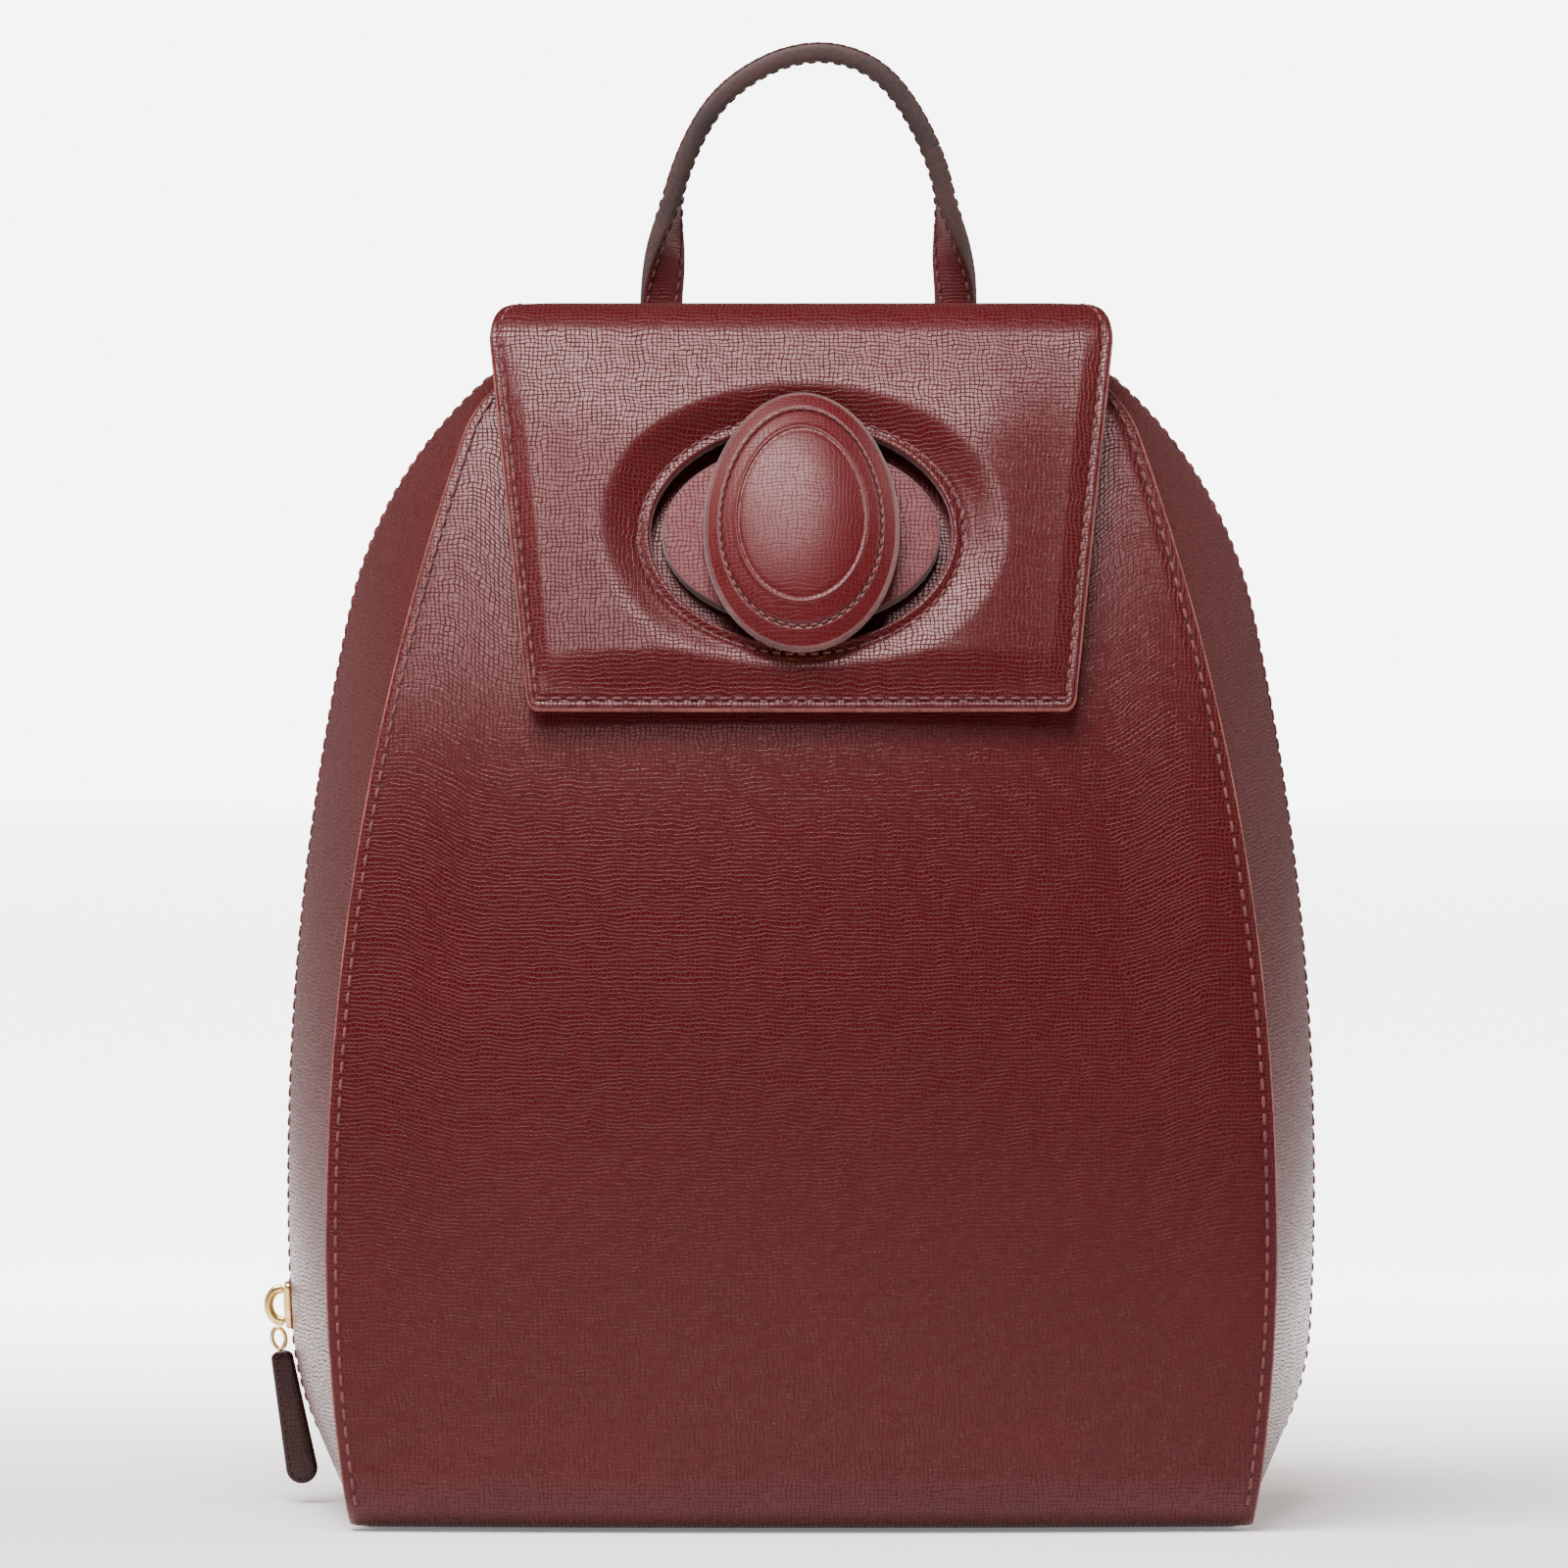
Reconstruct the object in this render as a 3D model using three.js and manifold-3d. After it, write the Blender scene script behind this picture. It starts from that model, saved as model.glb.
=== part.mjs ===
// A small structured leather backpack with an arched body, a wrap-round zip, a padded flap with a
// turn lock, a top handle and two buckled shoulder straps.
// Millimetres. X to the right, the front faces -Y, Z up, origin at the middle of the base's flat underside.

import * as THREE from 'three';
import { mergeVertices } from 'three/addons/utils/BufferGeometryUtils.js';
import Module from 'manifold-3d';

const wasm = await Module();
wasm.setup();

// ---------------------------------------------------------------- driving dimensions

const GAP = 0.3;               // clearance between pieces that touch
const LEATHER = 2;             // outer leather
const BOARD = 1.4;             // stiffening board
const LINING = 0.8;            // cloth lining

const BACK_FACE = 58;          // y of the back panel's flat outer face
const BACK_INSET = 3;          // the back panel is this much smaller than the zip outline
const ZIP_CENTRE = 30;         // y of the zip all round the body
const ZIP_OPEN_HALF = 4.5;     // from the zip's centre to each gusset's edge
const BOTTOM_EDGE = 2.3;       // lowest point of the gussets, just above the base panel

// Half outlines, from the base up and over to the crown: each arc's radius and the angle it ends at.
const OUTLINE_START = { x: 100.6, angle: -44.4 };
const OUTLINE_ARCS = [[65, -3.1], [622, 12.3], [100, 52], [45, 90]];
const SEAM_START = { x: 101.3, angle: -9.5 };
const SEAM_ARCS = [[400, 0], [568, 18.9], [26.6, 90]];
const TOP_PART = 0.2;          // share of each half outline that the top gusset covers

const HEEL = { y: -48, z: 12, radius: 12 };     // rounded lower front corner, centred on the shell's hinge
const FRONT_TOP = { y: -2, z: 268 };            // top of the front surface
const FRONT_LEAN = 0.67;                        // its slope there, dy/dz
const FRONT_BOW = { low: 4, middle: 7, top: 4 };  // how far the side edges sit behind the middle
const MOUTH_HEIGHT = 252;                       // top edge of the front panel, the slip pocket's mouth
const POCKET_DEPTH = 13;
const POCKET_FLOOR = 14;       // the slip pocket and its linings start just above the heel
const BASE = { front: -44.3, bow: 3.9, half: 100.3, cornerRadius: 4, boardInset: 5 };

const LOCK = { height: 226.5, plate: [32, 23], bore: 4.6, washer: 14 };
const KNOB = { half: [22.5, 33], low: 5.8, base: 1.8, dome: 8.4, spindle: 4, egg: 0.06 };
const LOCK_HOLE = [42, 38];    // half sizes of the hole in the padded flap
const LOCK_LIP = [35, 28];     // half sizes of the soft turned edge inside it
const LOCK_HOLE_DROP = 1;      // the hole's middle sits this far below the knob's

const FLAP = {
  hem: { y: -45.6, z: 187, lean: 22 },
  bend: { y: 4, z: 265.8, radius: 11 },
  bendLean: 30,
  back: 21,
  halfAtHem: 62.5,
  halfAtBend: 72.5,
  halfAtBack: 62,
  bow: 1.5,
  edge: 2.4,
  padding: 5,
  border: 9,
};

const HANDLE = { width: 10, thickness: 4.5, left: -32.6, right: 36.4, pivotY: 60.8, pivotZ: 271.5 };
// The handle's line in x and z, between its two legs.
const HANDLE_ARCH = [[-29.5, 307], [-20.5, 326], [-6.5, 336.4], [8.5, 338.3], [21.5, 331], [32, 312]];
const HANDLE_STRAIGHT = [284, 288];    // each leg is straight up to this height
const HANDLE_TAB = { halfLength: 16, cornerRadius: 4.5, depth: 3, top: 3.2 };

// The shoulder straps: the line of the right one, and shares of its length where pieces sit on it.
const STRAP = {
  line: [
    [16, 60.6, 224], [19.5, 66, 211], [31, 89, 180], [46, 104, 133], [60, 103, 88], [71, 87, 56],
    [76, 70.6, 37.6],
  ],
  width: 18,
  thickness: 3,
  tip: 0.76,
  lowerStart: 0.6,
  under: -3.6,
};
const BUCKLE = { at: 0.57, wire: 1.1, half: 10.7, length: 10, rise: 2.9 };
const PRONG_SLOT = { size: [2.8, 11.5, 8], shift: -1.5 };
const PRONG = { radius: 0.7, path: [[-0.2, -1.3], [-2.8, 0.6], [-6.4, 4.4], [-12, 5.2]] };
const KEEPER = { at: 0.69, under: 5.6, over: 2, wall: 1.2, length: 6, clearance: 0.5 };
const RING = { x: 76, y: 65.5, z: 30, half: 10.4, reach: 5.5, wire: 1.1, lean: [0, 0.55, 0.835] };
const RING_TAB = { half: 9, cornerRadius: 2, z: 16 };
const ANCHOR = { half: [26, 12], cornerRadius: 4, z: 240.5 };

const radians = THREE.MathUtils.degToRad;
const lerp = THREE.MathUtils.lerp;

// ---------------------------------------------------------------- materials

function material(colour, roughness, metalness = 0) {
  return new THREE.MeshStandardMaterial({ color: colour, roughness, metalness });
}

const burgundy = () => material('#5a1c22', 0.45);
const darkLeather = () => material('#2c0d10', 0.4);
const clothLining = () => material('#3a1418', 0.9);
const boardGrey = () => material('#8a8178', 0.9);
const gold = () => material('#c9a24c', 0.25, 1);
const tapeCloth = () => material('#3b1216', 0.85);

// ---------------------------------------------------------------- geometry helpers

const bag = new THREE.Group();

function add(name, geometry, paint) {
  const mesh = new THREE.Mesh(geometry, paint);
  mesh.name = name;
  bag.add(mesh);
  return mesh;
}

function signedVolume(geometry) {
  const at = geometry.getAttribute('position');
  const index = geometry.getIndex();
  const [a, b, c] = [new THREE.Vector3(), new THREE.Vector3(), new THREE.Vector3()];
  let total = 0;
  for (let i = 0; i < index.count; i += 3) {
    a.fromBufferAttribute(at, index.getX(i));
    b.fromBufferAttribute(at, index.getX(i + 1));
    c.fromBufferAttribute(at, index.getX(i + 2));
    total += a.dot(b.cross(c)) / 6;
  }
  return total;
}

// One closed body with shared corners and its faces pointing out.
function closed(geometry) {
  geometry.deleteAttribute('normal');
  geometry.deleteAttribute('uv');
  const merged = mergeVertices(geometry, 1e-3);
  if (signedVolume(merged) < 0) {
    merged.getIndex().array.reverse();
  }
  return merged;
}

function toManifold(geometry) {
  const whole = closed(geometry.clone());
  return new wasm.Manifold(new wasm.Mesh({
    numProp: 3,
    vertProperties: new Float32Array(whole.getAttribute('position').array),
    triVerts: new Uint32Array(whole.getIndex().array),
  }));
}

function fromManifold(solid) {
  const mesh = solid.getMesh();
  const geometry = new THREE.BufferGeometry();
  geometry.setAttribute('position', new THREE.BufferAttribute(mesh.vertProperties, 3));
  geometry.setIndex(new THREE.BufferAttribute(mesh.triVerts, 1));
  return geometry;
}

function cut(geometry, ...tools) {
  const solid = tools.reduce((rest, tool) => rest.subtract(toManifold(tool)), toManifold(geometry));
  return fromManifold(solid);
}

// A box of nu by nv by nw cells whose corners are placed by a function of u, v and w, each 0 to 1.
function slab(nu, nv, nw, place) {
  const geometry = new THREE.BoxGeometry(1, 1, 1, nu, nv, nw);
  const at = geometry.getAttribute('position');
  for (let i = 0; i < at.count; i += 1) {
    const p = place(at.getX(i) + 0.5, at.getY(i) + 0.5, at.getZ(i) + 0.5);
    at.setXYZ(i, p.x, p.y, p.z);
  }
  return closed(geometry);
}

function block(x0, x1, y0, y1, z0, z1) {
  const geometry = new THREE.BoxGeometry(x1 - x0, y1 - y0, z1 - z0);
  return closed(geometry.translate((x0 + x1) / 2, (y0 + y1) / 2, (z0 + z1) / 2));
}

function extruded(shape, depth, curveSegments = 12) {
  return closed(new THREE.ExtrudeGeometry(shape, { depth, bevelEnabled: false, curveSegments }));
}

function ellipse(halfWidth, halfHeight) {
  return new THREE.Shape().absellipse(0, 0, halfWidth, halfHeight, 0, 2 * Math.PI);
}

function roundedRectangle(halfWidth, halfHeight, radius) {
  const shape = new THREE.Shape();
  const [x, y] = [halfWidth - radius, halfHeight - radius];
  shape.absarc(x, y, radius, 0, Math.PI / 2);
  shape.absarc(-x, y, radius, Math.PI / 2, Math.PI);
  shape.absarc(-x, -y, radius, Math.PI, 1.5 * Math.PI);
  shape.absarc(x, -y, radius, 1.5 * Math.PI, 2 * Math.PI);
  return shape;
}

// A plate that lies in the XZ plane, from y0 to y1, from a shape drawn in x and z.
function uprightPlate(shape, y0, y1, curveSegments) {
  const geometry = extruded(shape, y1 - y0, curveSegments);
  return geometry.rotateX(Math.PI / 2).translate(0, y1, 0);
}

// A wire bent to a closed loop.
function closedWire(points, radius) {
  const loop = new THREE.CatmullRomCurve3(points, true, 'catmullrom', 0.2);
  return closed(new THREE.TubeGeometry(loop, 22, radius, 6, true));
}

// ---------------------------------------------------------------- curves of the body

// A half outline in x and z: tangent arcs from the base to the crown, then straight to the middle.
function halfArch(start, arcs, inset = 0) {
  const path = new THREE.Path();
  let angle = radians(start.angle);
  let corner = new THREE.Vector2(start.x, 0);
  for (const [radius, endDegrees] of arcs) {
    const end = radians(endDegrees);
    const centre = new THREE.Vector2(
      corner.x - radius * Math.cos(angle),
      corner.y - radius * Math.sin(angle),
    );
    path.absarc(centre.x, centre.y, radius - inset, angle, end, false);
    corner = new THREE.Vector2(centre.x + radius * Math.cos(end), centre.y + radius * Math.sin(end));
    angle = end;
  }
  path.lineTo(0, corner.y - inset);
  path.arcLengthDivisions = 800;
  return path;
}

const outline = halfArch(OUTLINE_START, OUTLINE_ARCS);
const backOutline = halfArch(OUTLINE_START, OUTLINE_ARCS, BACK_INSET);
const seam = halfArch(SEAM_START, SEAM_ARCS);

// A point and outward normal on a full arch: s runs from -1, bottom left, over 0, the crown, to 1.
function onArch(path, s) {
  const t = 1 - Math.abs(s);
  const side = s < 0 ? -1 : 1;
  const p = path.getPointAt(t);
  const along = path.getTangentAt(t);
  return { x: side * p.x, z: p.y, nx: side * along.y, nz: -along.x };
}

// The share of a rising path at which it reaches a height.
function shareAtHeight(path, height) {
  let [low, high] = [0, 1];
  for (let i = 0; i < 24; i += 1) {
    const middle = (low + high) / 2;
    if (path.getPointAt(middle).y < height) {
      low = middle;
    } else {
      high = middle;
    }
  }
  return low;
}

// The front surface's middle line, drawn in y and z, from the underside up to the top seam.
const profile = new THREE.Path();
profile.absarc(HEEL.y, HEEL.z, HEEL.radius, radians(270), radians(180), true);
profile.bezierCurveTo(
  HEEL.y - HEEL.radius, 120,
  FRONT_TOP.y - FRONT_LEAN * 90, FRONT_TOP.z - 90,
  FRONT_TOP.y, FRONT_TOP.z,
);
profile.arcLengthDivisions = 800;

// A point and outward normal on a path drawn in y and z that runs upward along the front.
function onProfile(path, t) {
  const p = path.getPointAt(t);
  const along = path.getTangentAt(t);
  return { y: p.x, z: p.y, ny: -along.y, nz: along.x };
}

function seamHalfWidth(z) {
  return seam.getPointAt(shareAtHeight(seam, Math.min(z, FRONT_TOP.z - 0.01))).x;
}

function frontBow(z) {
  const middle = 130;
  return z < middle
    ? lerp(FRONT_BOW.low, FRONT_BOW.middle, z / middle)
    : lerp(FRONT_BOW.middle, FRONT_BOW.top, (z - middle) / (FRONT_TOP.z - middle));
}

// A point set back by depth behind the front surface, at x and a share t of the middle line.
function frontPoint(x, t, depth) {
  const p = onProfile(profile, t);
  const across = x / seamHalfWidth(p.z);
  return new THREE.Vector3(x, p.y + frontBow(p.z) * across * across - depth * p.ny, p.z - depth * p.nz);
}

// ---------------------------------------------------------------- front shell: panel, board, pocket, lining

const FRONT_GRID = [10, 16];     // cells across and up each layer of the front

// How far the slip pocket's wall stands behind the front surface.
function pocketWallDepth(across, z) {
  const rise = THREE.MathUtils.smoothstep(z, POCKET_FLOOR, 50);
  const fall = 1 - THREE.MathUtils.smoothstep(z, 238, 266);
  return LEATHER + BOARD + 4 * GAP + POCKET_DEPTH * rise * fall * (1 - across * across);
}

const HEEL_TOP = shareAtHeight(profile, HEEL.z);
const HEEL_ROWS = 0.25;        // share of the front panel's rows that turn round the heel

function evenRow(lowZ, highZ) {
  const [low, high] = [shareAtHeight(profile, lowZ), shareAtHeight(profile, highZ)];
  return (v) => lerp(low, high, v);
}

function rowFromHeel(highZ) {
  const high = shareAtHeight(profile, highZ);
  return (v) => (v < HEEL_ROWS
    ? lerp(0, HEEL_TOP, v / HEEL_ROWS)
    : lerp(HEEL_TOP, high, (v - HEEL_ROWS) / (1 - HEEL_ROWS)));
}

// One layer of the front, margin away from the seam, with its rows placed by a function of v.
function frontLayer(grid, rowAt, margin, thickness, depthAt) {
  return slab(...grid, 1, (u, v, w) => {
    const t = rowAt(v);
    const z = profile.getPointAt(t).y;
    const across = 2 * u - 1;
    return frontPoint(across * (seamHalfWidth(z) + margin), t, depthAt(across, z) + w * thickness);
  });
}

// The lock's own frame: x to the right, y up the slope, z out of the front.
const lockSeat = onProfile(profile, shareAtHeight(profile, LOCK.height));
const lockFrame = new THREE.Matrix4().makeBasis(
  new THREE.Vector3(1, 0, 0),
  new THREE.Vector3(0, lockSeat.nz, -lockSeat.ny),
  new THREE.Vector3(0, lockSeat.ny, lockSeat.nz),
).setPosition(0, lockSeat.y, lockSeat.z);

// An oval or round plate in the lock's frame, between two heights above the front surface.
function lockPlate(shape, low, high, drop = 0, curveSegments = 24) {
  const geometry = extruded(shape, high - low, curveSegments);
  return geometry.translate(0, -drop, low).applyMatrix4(lockFrame);
}

const lockBore = () => lockPlate(ellipse(LOCK.bore, LOCK.bore), -12, 12, 0, 10);

function buildFrontPanels() {
  const flush = () => 0;
  const panel = frontLayer([10, 20], rowFromHeel(MOUTH_HEIGHT), 2, LEATHER, flush);
  add('front_panel', cut(panel, lockBore()), burgundy());
  const boardRow = evenRow(POCKET_FLOOR, MOUTH_HEIGHT - 3);
  const board = frontLayer(FRONT_GRID, boardRow, -6, BOARD, () => LEATHER + 2 * GAP);
  add('front_board', cut(board, lockBore()), boardGrey());
  const wallRow = evenRow(POCKET_FLOOR, FRONT_TOP.z - 1.5);
  add('pocket_wall', frontLayer(FRONT_GRID, wallRow, -3, LEATHER, pocketWallDepth), burgundy());
  const behindWall = (across, z) => pocketWallDepth(across, z) + LEATHER + 5 * GAP;
  add('front_lining', frontLayer(FRONT_GRID, wallRow, -3, LINING, behindWall), clothLining());
}

// ---------------------------------------------------------------- gussets

const SIDE_END = 1 - shareAtHeight(outline, BOTTOM_EDGE);
const GUSSET_PARTS = {
  left: [-SIDE_END, -TOP_PART - 0.0006],
  top: [-TOP_PART + 0.0006, TOP_PART - 0.0006],
  right: [TOP_PART + 0.0006, SIDE_END],
};

// A strip between two edge curves, each a function of s that gives a point and an outward normal.
function strip([from, to], frontEdge, rearEdge, bulge, steps) {
  return slab(steps, 3, 1, (u, v, w) => {
    const s = lerp(from, to, u);
    const [a, b] = [frontEdge(s), rearEdge(s)];
    const out = 4 * bulge * v * (1 - v) - w * LEATHER;
    return new THREE.Vector3(
      lerp(a.x, b.x, v) + out * lerp(a.nx, b.nx, v),
      lerp(a.y, b.y, v),
      lerp(a.z, b.z, v) + out * lerp(a.nz, b.nz, v),
    );
  });
}

// The gusset's front edge, tucked behind the rim of the front panel.
function frontGussetEdge(s) {
  const p = onArch(seam, s);
  const t = shareAtHeight(profile, Math.min(p.z, FRONT_TOP.z - 0.01));
  const behind = frontPoint(p.x, t, LEATHER + 3 * GAP);
  return { ...p, x: p.x + p.nx, z: Math.max(behind.z, BOTTOM_EDGE), y: behind.y };
}

const atY = (path, y) => (s) => ({ ...onArch(path, s), y });

function buildGussets() {
  for (const [side, range] of Object.entries(GUSSET_PARTS)) {
    const steps = side === 'top' ? 14 : 22;
    const zipFront = atY(outline, ZIP_CENTRE - ZIP_OPEN_HALF);
    const zipRear = atY(outline, ZIP_CENTRE + ZIP_OPEN_HALF);
    const backEdge = atY(backOutline, BACK_FACE - LEATHER - GAP);
    add(`front_gusset_${side}`, strip(range, frontGussetEdge, zipFront, 1.5, steps), burgundy());
    add(`rear_gusset_${side}`, strip(range, zipRear, backEdge, 0.8, steps), burgundy());
  }
}

// ---------------------------------------------------------------- wrap-round zip

const ZIP_END_HEIGHT = 17;
const ZIP_RANGE = 1 - shareAtHeight(outline, ZIP_END_HEIGHT);
const TEETH = { inner: 0.2, outer: 2.6, top: -1.2, bottom: -3.6 };
const TAPE = { inner: 2.9, outer: 6.5, top: -LEATHER - 3 * GAP, bottom: -LEATHER - 3 * GAP - 0.7 };

// A band that follows the whole zip, between two distances from its centre and two depths.
function zipBand(section, side) {
  return slab(60, 1, 1, (u, v, w) => {
    const p = onArch(outline, lerp(-ZIP_RANGE, ZIP_RANGE, u));
    const out = lerp(section.bottom, section.top, w);
    const y = ZIP_CENTRE + side * lerp(section.inner, section.outer, v);
    return new THREE.Vector3(p.x + out * p.nx, y, p.z + out * p.nz);
  });
}

function buildZip() {
  for (const [name, side] of [['front', -1], ['rear', 1]]) {
    add(`zip_tape_${name}`, zipBand(TAPE, side), tapeCloth());
    add(`zip_teeth_${name}`, zipBand(TEETH, side), gold());
  }
  for (const [name, side] of [['left', -1], ['right', 1]]) {
    const p = onArch(outline, side * (ZIP_RANGE + 0.006));
    const depth = (TEETH.top + TEETH.bottom) / 2;
    const stop = new THREE.BoxGeometry(TEETH.top - TEETH.bottom, 2 * TEETH.outer, 2);
    stop.rotateY(Math.atan2(-p.nz, p.nx));
    stop.translate(p.x + depth * p.nx, ZIP_CENTRE, p.z + depth * p.nz);
    add(`zip_stop_${name}`, closed(stop), gold());
  }
}

// ---------------------------------------------------------------- back and base

function archShape(inset, lowZ) {
  const path = halfArch(OUTLINE_START, OUTLINE_ARCS, inset);
  const low = shareAtHeight(path, lowZ);
  const points = [];
  const count = 34;
  for (let i = 0; i < count; i += 1) {
    points.push(path.getPointAt(lerp(low, 0.88, i / (count - 1))));
  }
  const mirrored = points.map((p) => new THREE.Vector2(-p.x, p.y)).reverse();
  return new THREE.Shape([...points, ...mirrored]);
}

function buildBack() {
  const boardFace = BACK_FACE - LEATHER - GAP;
  const liningFace = boardFace - BOARD - GAP;
  add('back_panel', uprightPlate(archShape(BACK_INSET, 0.05), BACK_FACE - LEATHER, BACK_FACE), burgundy());
  add('back_board', uprightPlate(archShape(7, BOTTOM_EDGE), boardFace - BOARD, boardFace), boardGrey());
  add('back_lining', uprightPlate(archShape(7, 5), liningFace - LINING, liningFace), clothLining());
  buildInnerPocket(liningFace - LINING - GAP);
}

// A flat pocket open at the top and towards the lining that it is sewn to.
function buildInnerPocket(face) {
  const [half, low, high, depth, wall] = [74, 60, 158, 8, 1.2];
  const tray = cut(
    block(-half, half, face - depth, face, low, high),
    block(-half + wall, half - wall, face - depth + wall, face + 1, low + wall, high + 1),
  );
  add('inner_pocket', tray, clothLining());
}

// The base's outline: its front edge is bowed like the heel of the front panel, its back corners are round.
function baseShape(half, front, back) {
  const radius = BASE.cornerRadius;
  const shape = new THREE.Shape();
  shape.moveTo(-half, front + BASE.bow);
  shape.quadraticCurveTo(0, front - BASE.bow, half, front + BASE.bow);
  shape.absarc(half - radius, back - radius, radius, 0, Math.PI / 2);
  shape.absarc(-half + radius, back - radius, radius, Math.PI / 2, Math.PI);
  return shape;
}

function buildBase() {
  const back = BACK_FACE - LEATHER - GAP;
  add('base_panel', extruded(baseShape(BASE.half, BASE.front, back), LEATHER), burgundy());
  const inset = BASE.boardInset;
  const boardShape = baseShape(BASE.half - inset, BASE.front + inset, back - inset);
  add('base_board', extruded(boardShape, LEATHER).translate(0, 0, LEATHER + GAP), boardGrey());
}

// ---------------------------------------------------------------- flap

// The flap's inner line in y and z. It rises from the hem and turns over the top.
const bendSplit = radians(120);
const bendEnd = radians(180 - FLAP.bendLean);
const flapFrontPath = new THREE.Path();
const bendStart = new THREE.Vector2(
  FLAP.bend.y + FLAP.bend.radius * Math.cos(bendEnd),
  FLAP.bend.z + FLAP.bend.radius * Math.sin(bendEnd),
);
const HANDLE_REACH = 30;       // how far each end's direction shapes the flap's front curve
flapFrontPath.moveTo(FLAP.hem.y, FLAP.hem.z);
flapFrontPath.bezierCurveTo(
  FLAP.hem.y + HANDLE_REACH * Math.sin(radians(FLAP.hem.lean)),
  FLAP.hem.z + HANDLE_REACH * Math.cos(radians(FLAP.hem.lean)),
  bendStart.x - HANDLE_REACH * Math.sin(radians(FLAP.bendLean)),
  bendStart.y - HANDLE_REACH * Math.cos(radians(FLAP.bendLean)),
  bendStart.x,
  bendStart.y,
);
flapFrontPath.absarc(FLAP.bend.y, FLAP.bend.z, FLAP.bend.radius, bendEnd, bendSplit + 0.03, true);
flapFrontPath.arcLengthDivisions = 400;

const flapTopPath = new THREE.Path();
flapTopPath.absarc(FLAP.bend.y, FLAP.bend.z, FLAP.bend.radius, bendSplit - 0.03, radians(90), true);
flapTopPath.lineTo(FLAP.back, FLAP.bend.z + FLAP.bend.radius);
flapTopPath.arcLengthDivisions = 400;

function flapPoint(path, t, x, half, height) {
  const p = onProfile(path, t);
  const across = x / half;
  return new THREE.Vector3(x, p.y + FLAP.bow * across * across + height * p.ny, p.z + height * p.nz);
}

// How much of the padding there is at a point of the flap: none on the stitched border.
function flapPadding(x, half, distanceToHem, distanceToBend) {
  const nearest = Math.min(half - Math.abs(x), distanceToHem, distanceToBend);
  return FLAP.padding * THREE.MathUtils.smoothstep(nearest, FLAP.border * 0.4, FLAP.border * 1.6);
}

// A sheet of the flap, with its rows of cells closer together towards the bend.
function flapSheet(grid, inset, low, thicknessAt) {
  const length = flapFrontPath.getLength();
  return slab(...grid, 1, (u, v, w) => {
    const t = 1 - (1 - v) ** 1.5;
    const half = lerp(FLAP.halfAtHem, FLAP.halfAtBend, t) - inset;
    const x = (2 * u - 1) * half;
    const thickness = thicknessAt(x, half, t * length, (1 - t) * length);
    return flapPoint(flapFrontPath, t, x, half, low + w * thickness);
  });
}

function buildFlap() {
  const outer = flapSheet([18, 14], 0, LINING + GAP, (...place) => FLAP.edge + flapPadding(...place));
  const hole = () => lockPlate(ellipse(...LOCK_HOLE), -5, 30, LOCK_HOLE_DROP);
  add('flap_front', cut(outer, hole()), burgundy());
  const lining = flapSheet([18, 14], 1.5, 0, () => LINING);
  add('flap_lining', cut(lining, hole()), clothLining());
  const lip = ellipse(LOCK_HOLE[0] - GAP, LOCK_HOLE[1] - GAP);
  lip.holes.push(new THREE.Path().absellipse(0, 0, ...LOCK_LIP, 0, 2 * Math.PI));
  add('lock_lip', lockPlate(lip, 3.2, 4.8, LOCK_HOLE_DROP, 24), burgundy());
  const top = slab(10, 7, 1, (u, v, w) => {
    const half = lerp(FLAP.halfAtBend, FLAP.halfAtBack, v * v);
    return flapPoint(flapTopPath, v, (2 * u - 1) * half, half, w * (LINING + GAP + FLAP.edge));
  });
  add('flap_top', top, burgundy());
}

// ---------------------------------------------------------------- turn lock

function buildLock() {
  add('lock_plate', cut(lockPlate(ellipse(...LOCK.plate), GAP, 3.6), lockBore()), burgundy());
  const washerTop = -LEATHER - BOARD - 3 * GAP;
  const washer = lockPlate(ellipse(LOCK.washer, LOCK.washer), washerTop - 1.5, washerTop - 0.2, 0, 12);
  add('lock_washer', cut(washer, lockBore()), gold());
}

function eggPlate(low, high, shrink) {
  const geometry = extruded(ellipse(KNOB.half[0] - shrink, KNOB.half[1] - shrink), high - low, 36);
  return narrowTowardsTop(geometry.translate(0, 0, low));
}

// The knob's oval is slightly narrower at its upper end.
function narrowTowardsTop(geometry) {
  const at = geometry.getAttribute('position');
  for (let i = 0; i < at.count; i += 1) {
    at.setX(i, at.getX(i) * (1 - KNOB.egg * at.getY(i) / KNOB.half[1]));
  }
  return geometry;
}

function buildKnob() {
  const spindle = lockPlate(ellipse(KNOB.spindle, KNOB.spindle), -6.6, KNOB.low - GAP, 0, 10);
  add('knob_spindle', spindle, gold());
  add('knob_base', eggPlate(KNOB.low, KNOB.low + KNOB.base, 1.2).applyMatrix4(lockFrame), gold());
  const foot = KNOB.low + KNOB.base + GAP;
  const rim = [[0, 0], [KNOB.half[0], 0], [KNOB.half[0], 2]];
  const section = rim.map(([r, h]) => new THREE.Vector2(r, h));
  for (let i = 1; i <= 6; i += 1) {
    const turn = (i / 6) * (Math.PI / 2);
    section.push(new THREE.Vector2(KNOB.half[0] * Math.cos(turn), 2 + (KNOB.dome - 2) * Math.sin(turn)));
  }
  section[section.length - 1].x = 0;
  const dome = new THREE.LatheGeometry(section, 36);
  dome.rotateX(Math.PI / 2).scale(1, KNOB.half[1] / KNOB.half[0], 1).translate(0, 0, foot);
  add('knob_cover', narrowTowardsTop(closed(dome)).applyMatrix4(lockFrame), burgundy());
}

// ---------------------------------------------------------------- zip slider and its pull

const SLIDER = { height: 46, half: [4, 5.5], cornerRadius: 2, top: 1.8, wall: 1.5, under: 2 };
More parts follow.
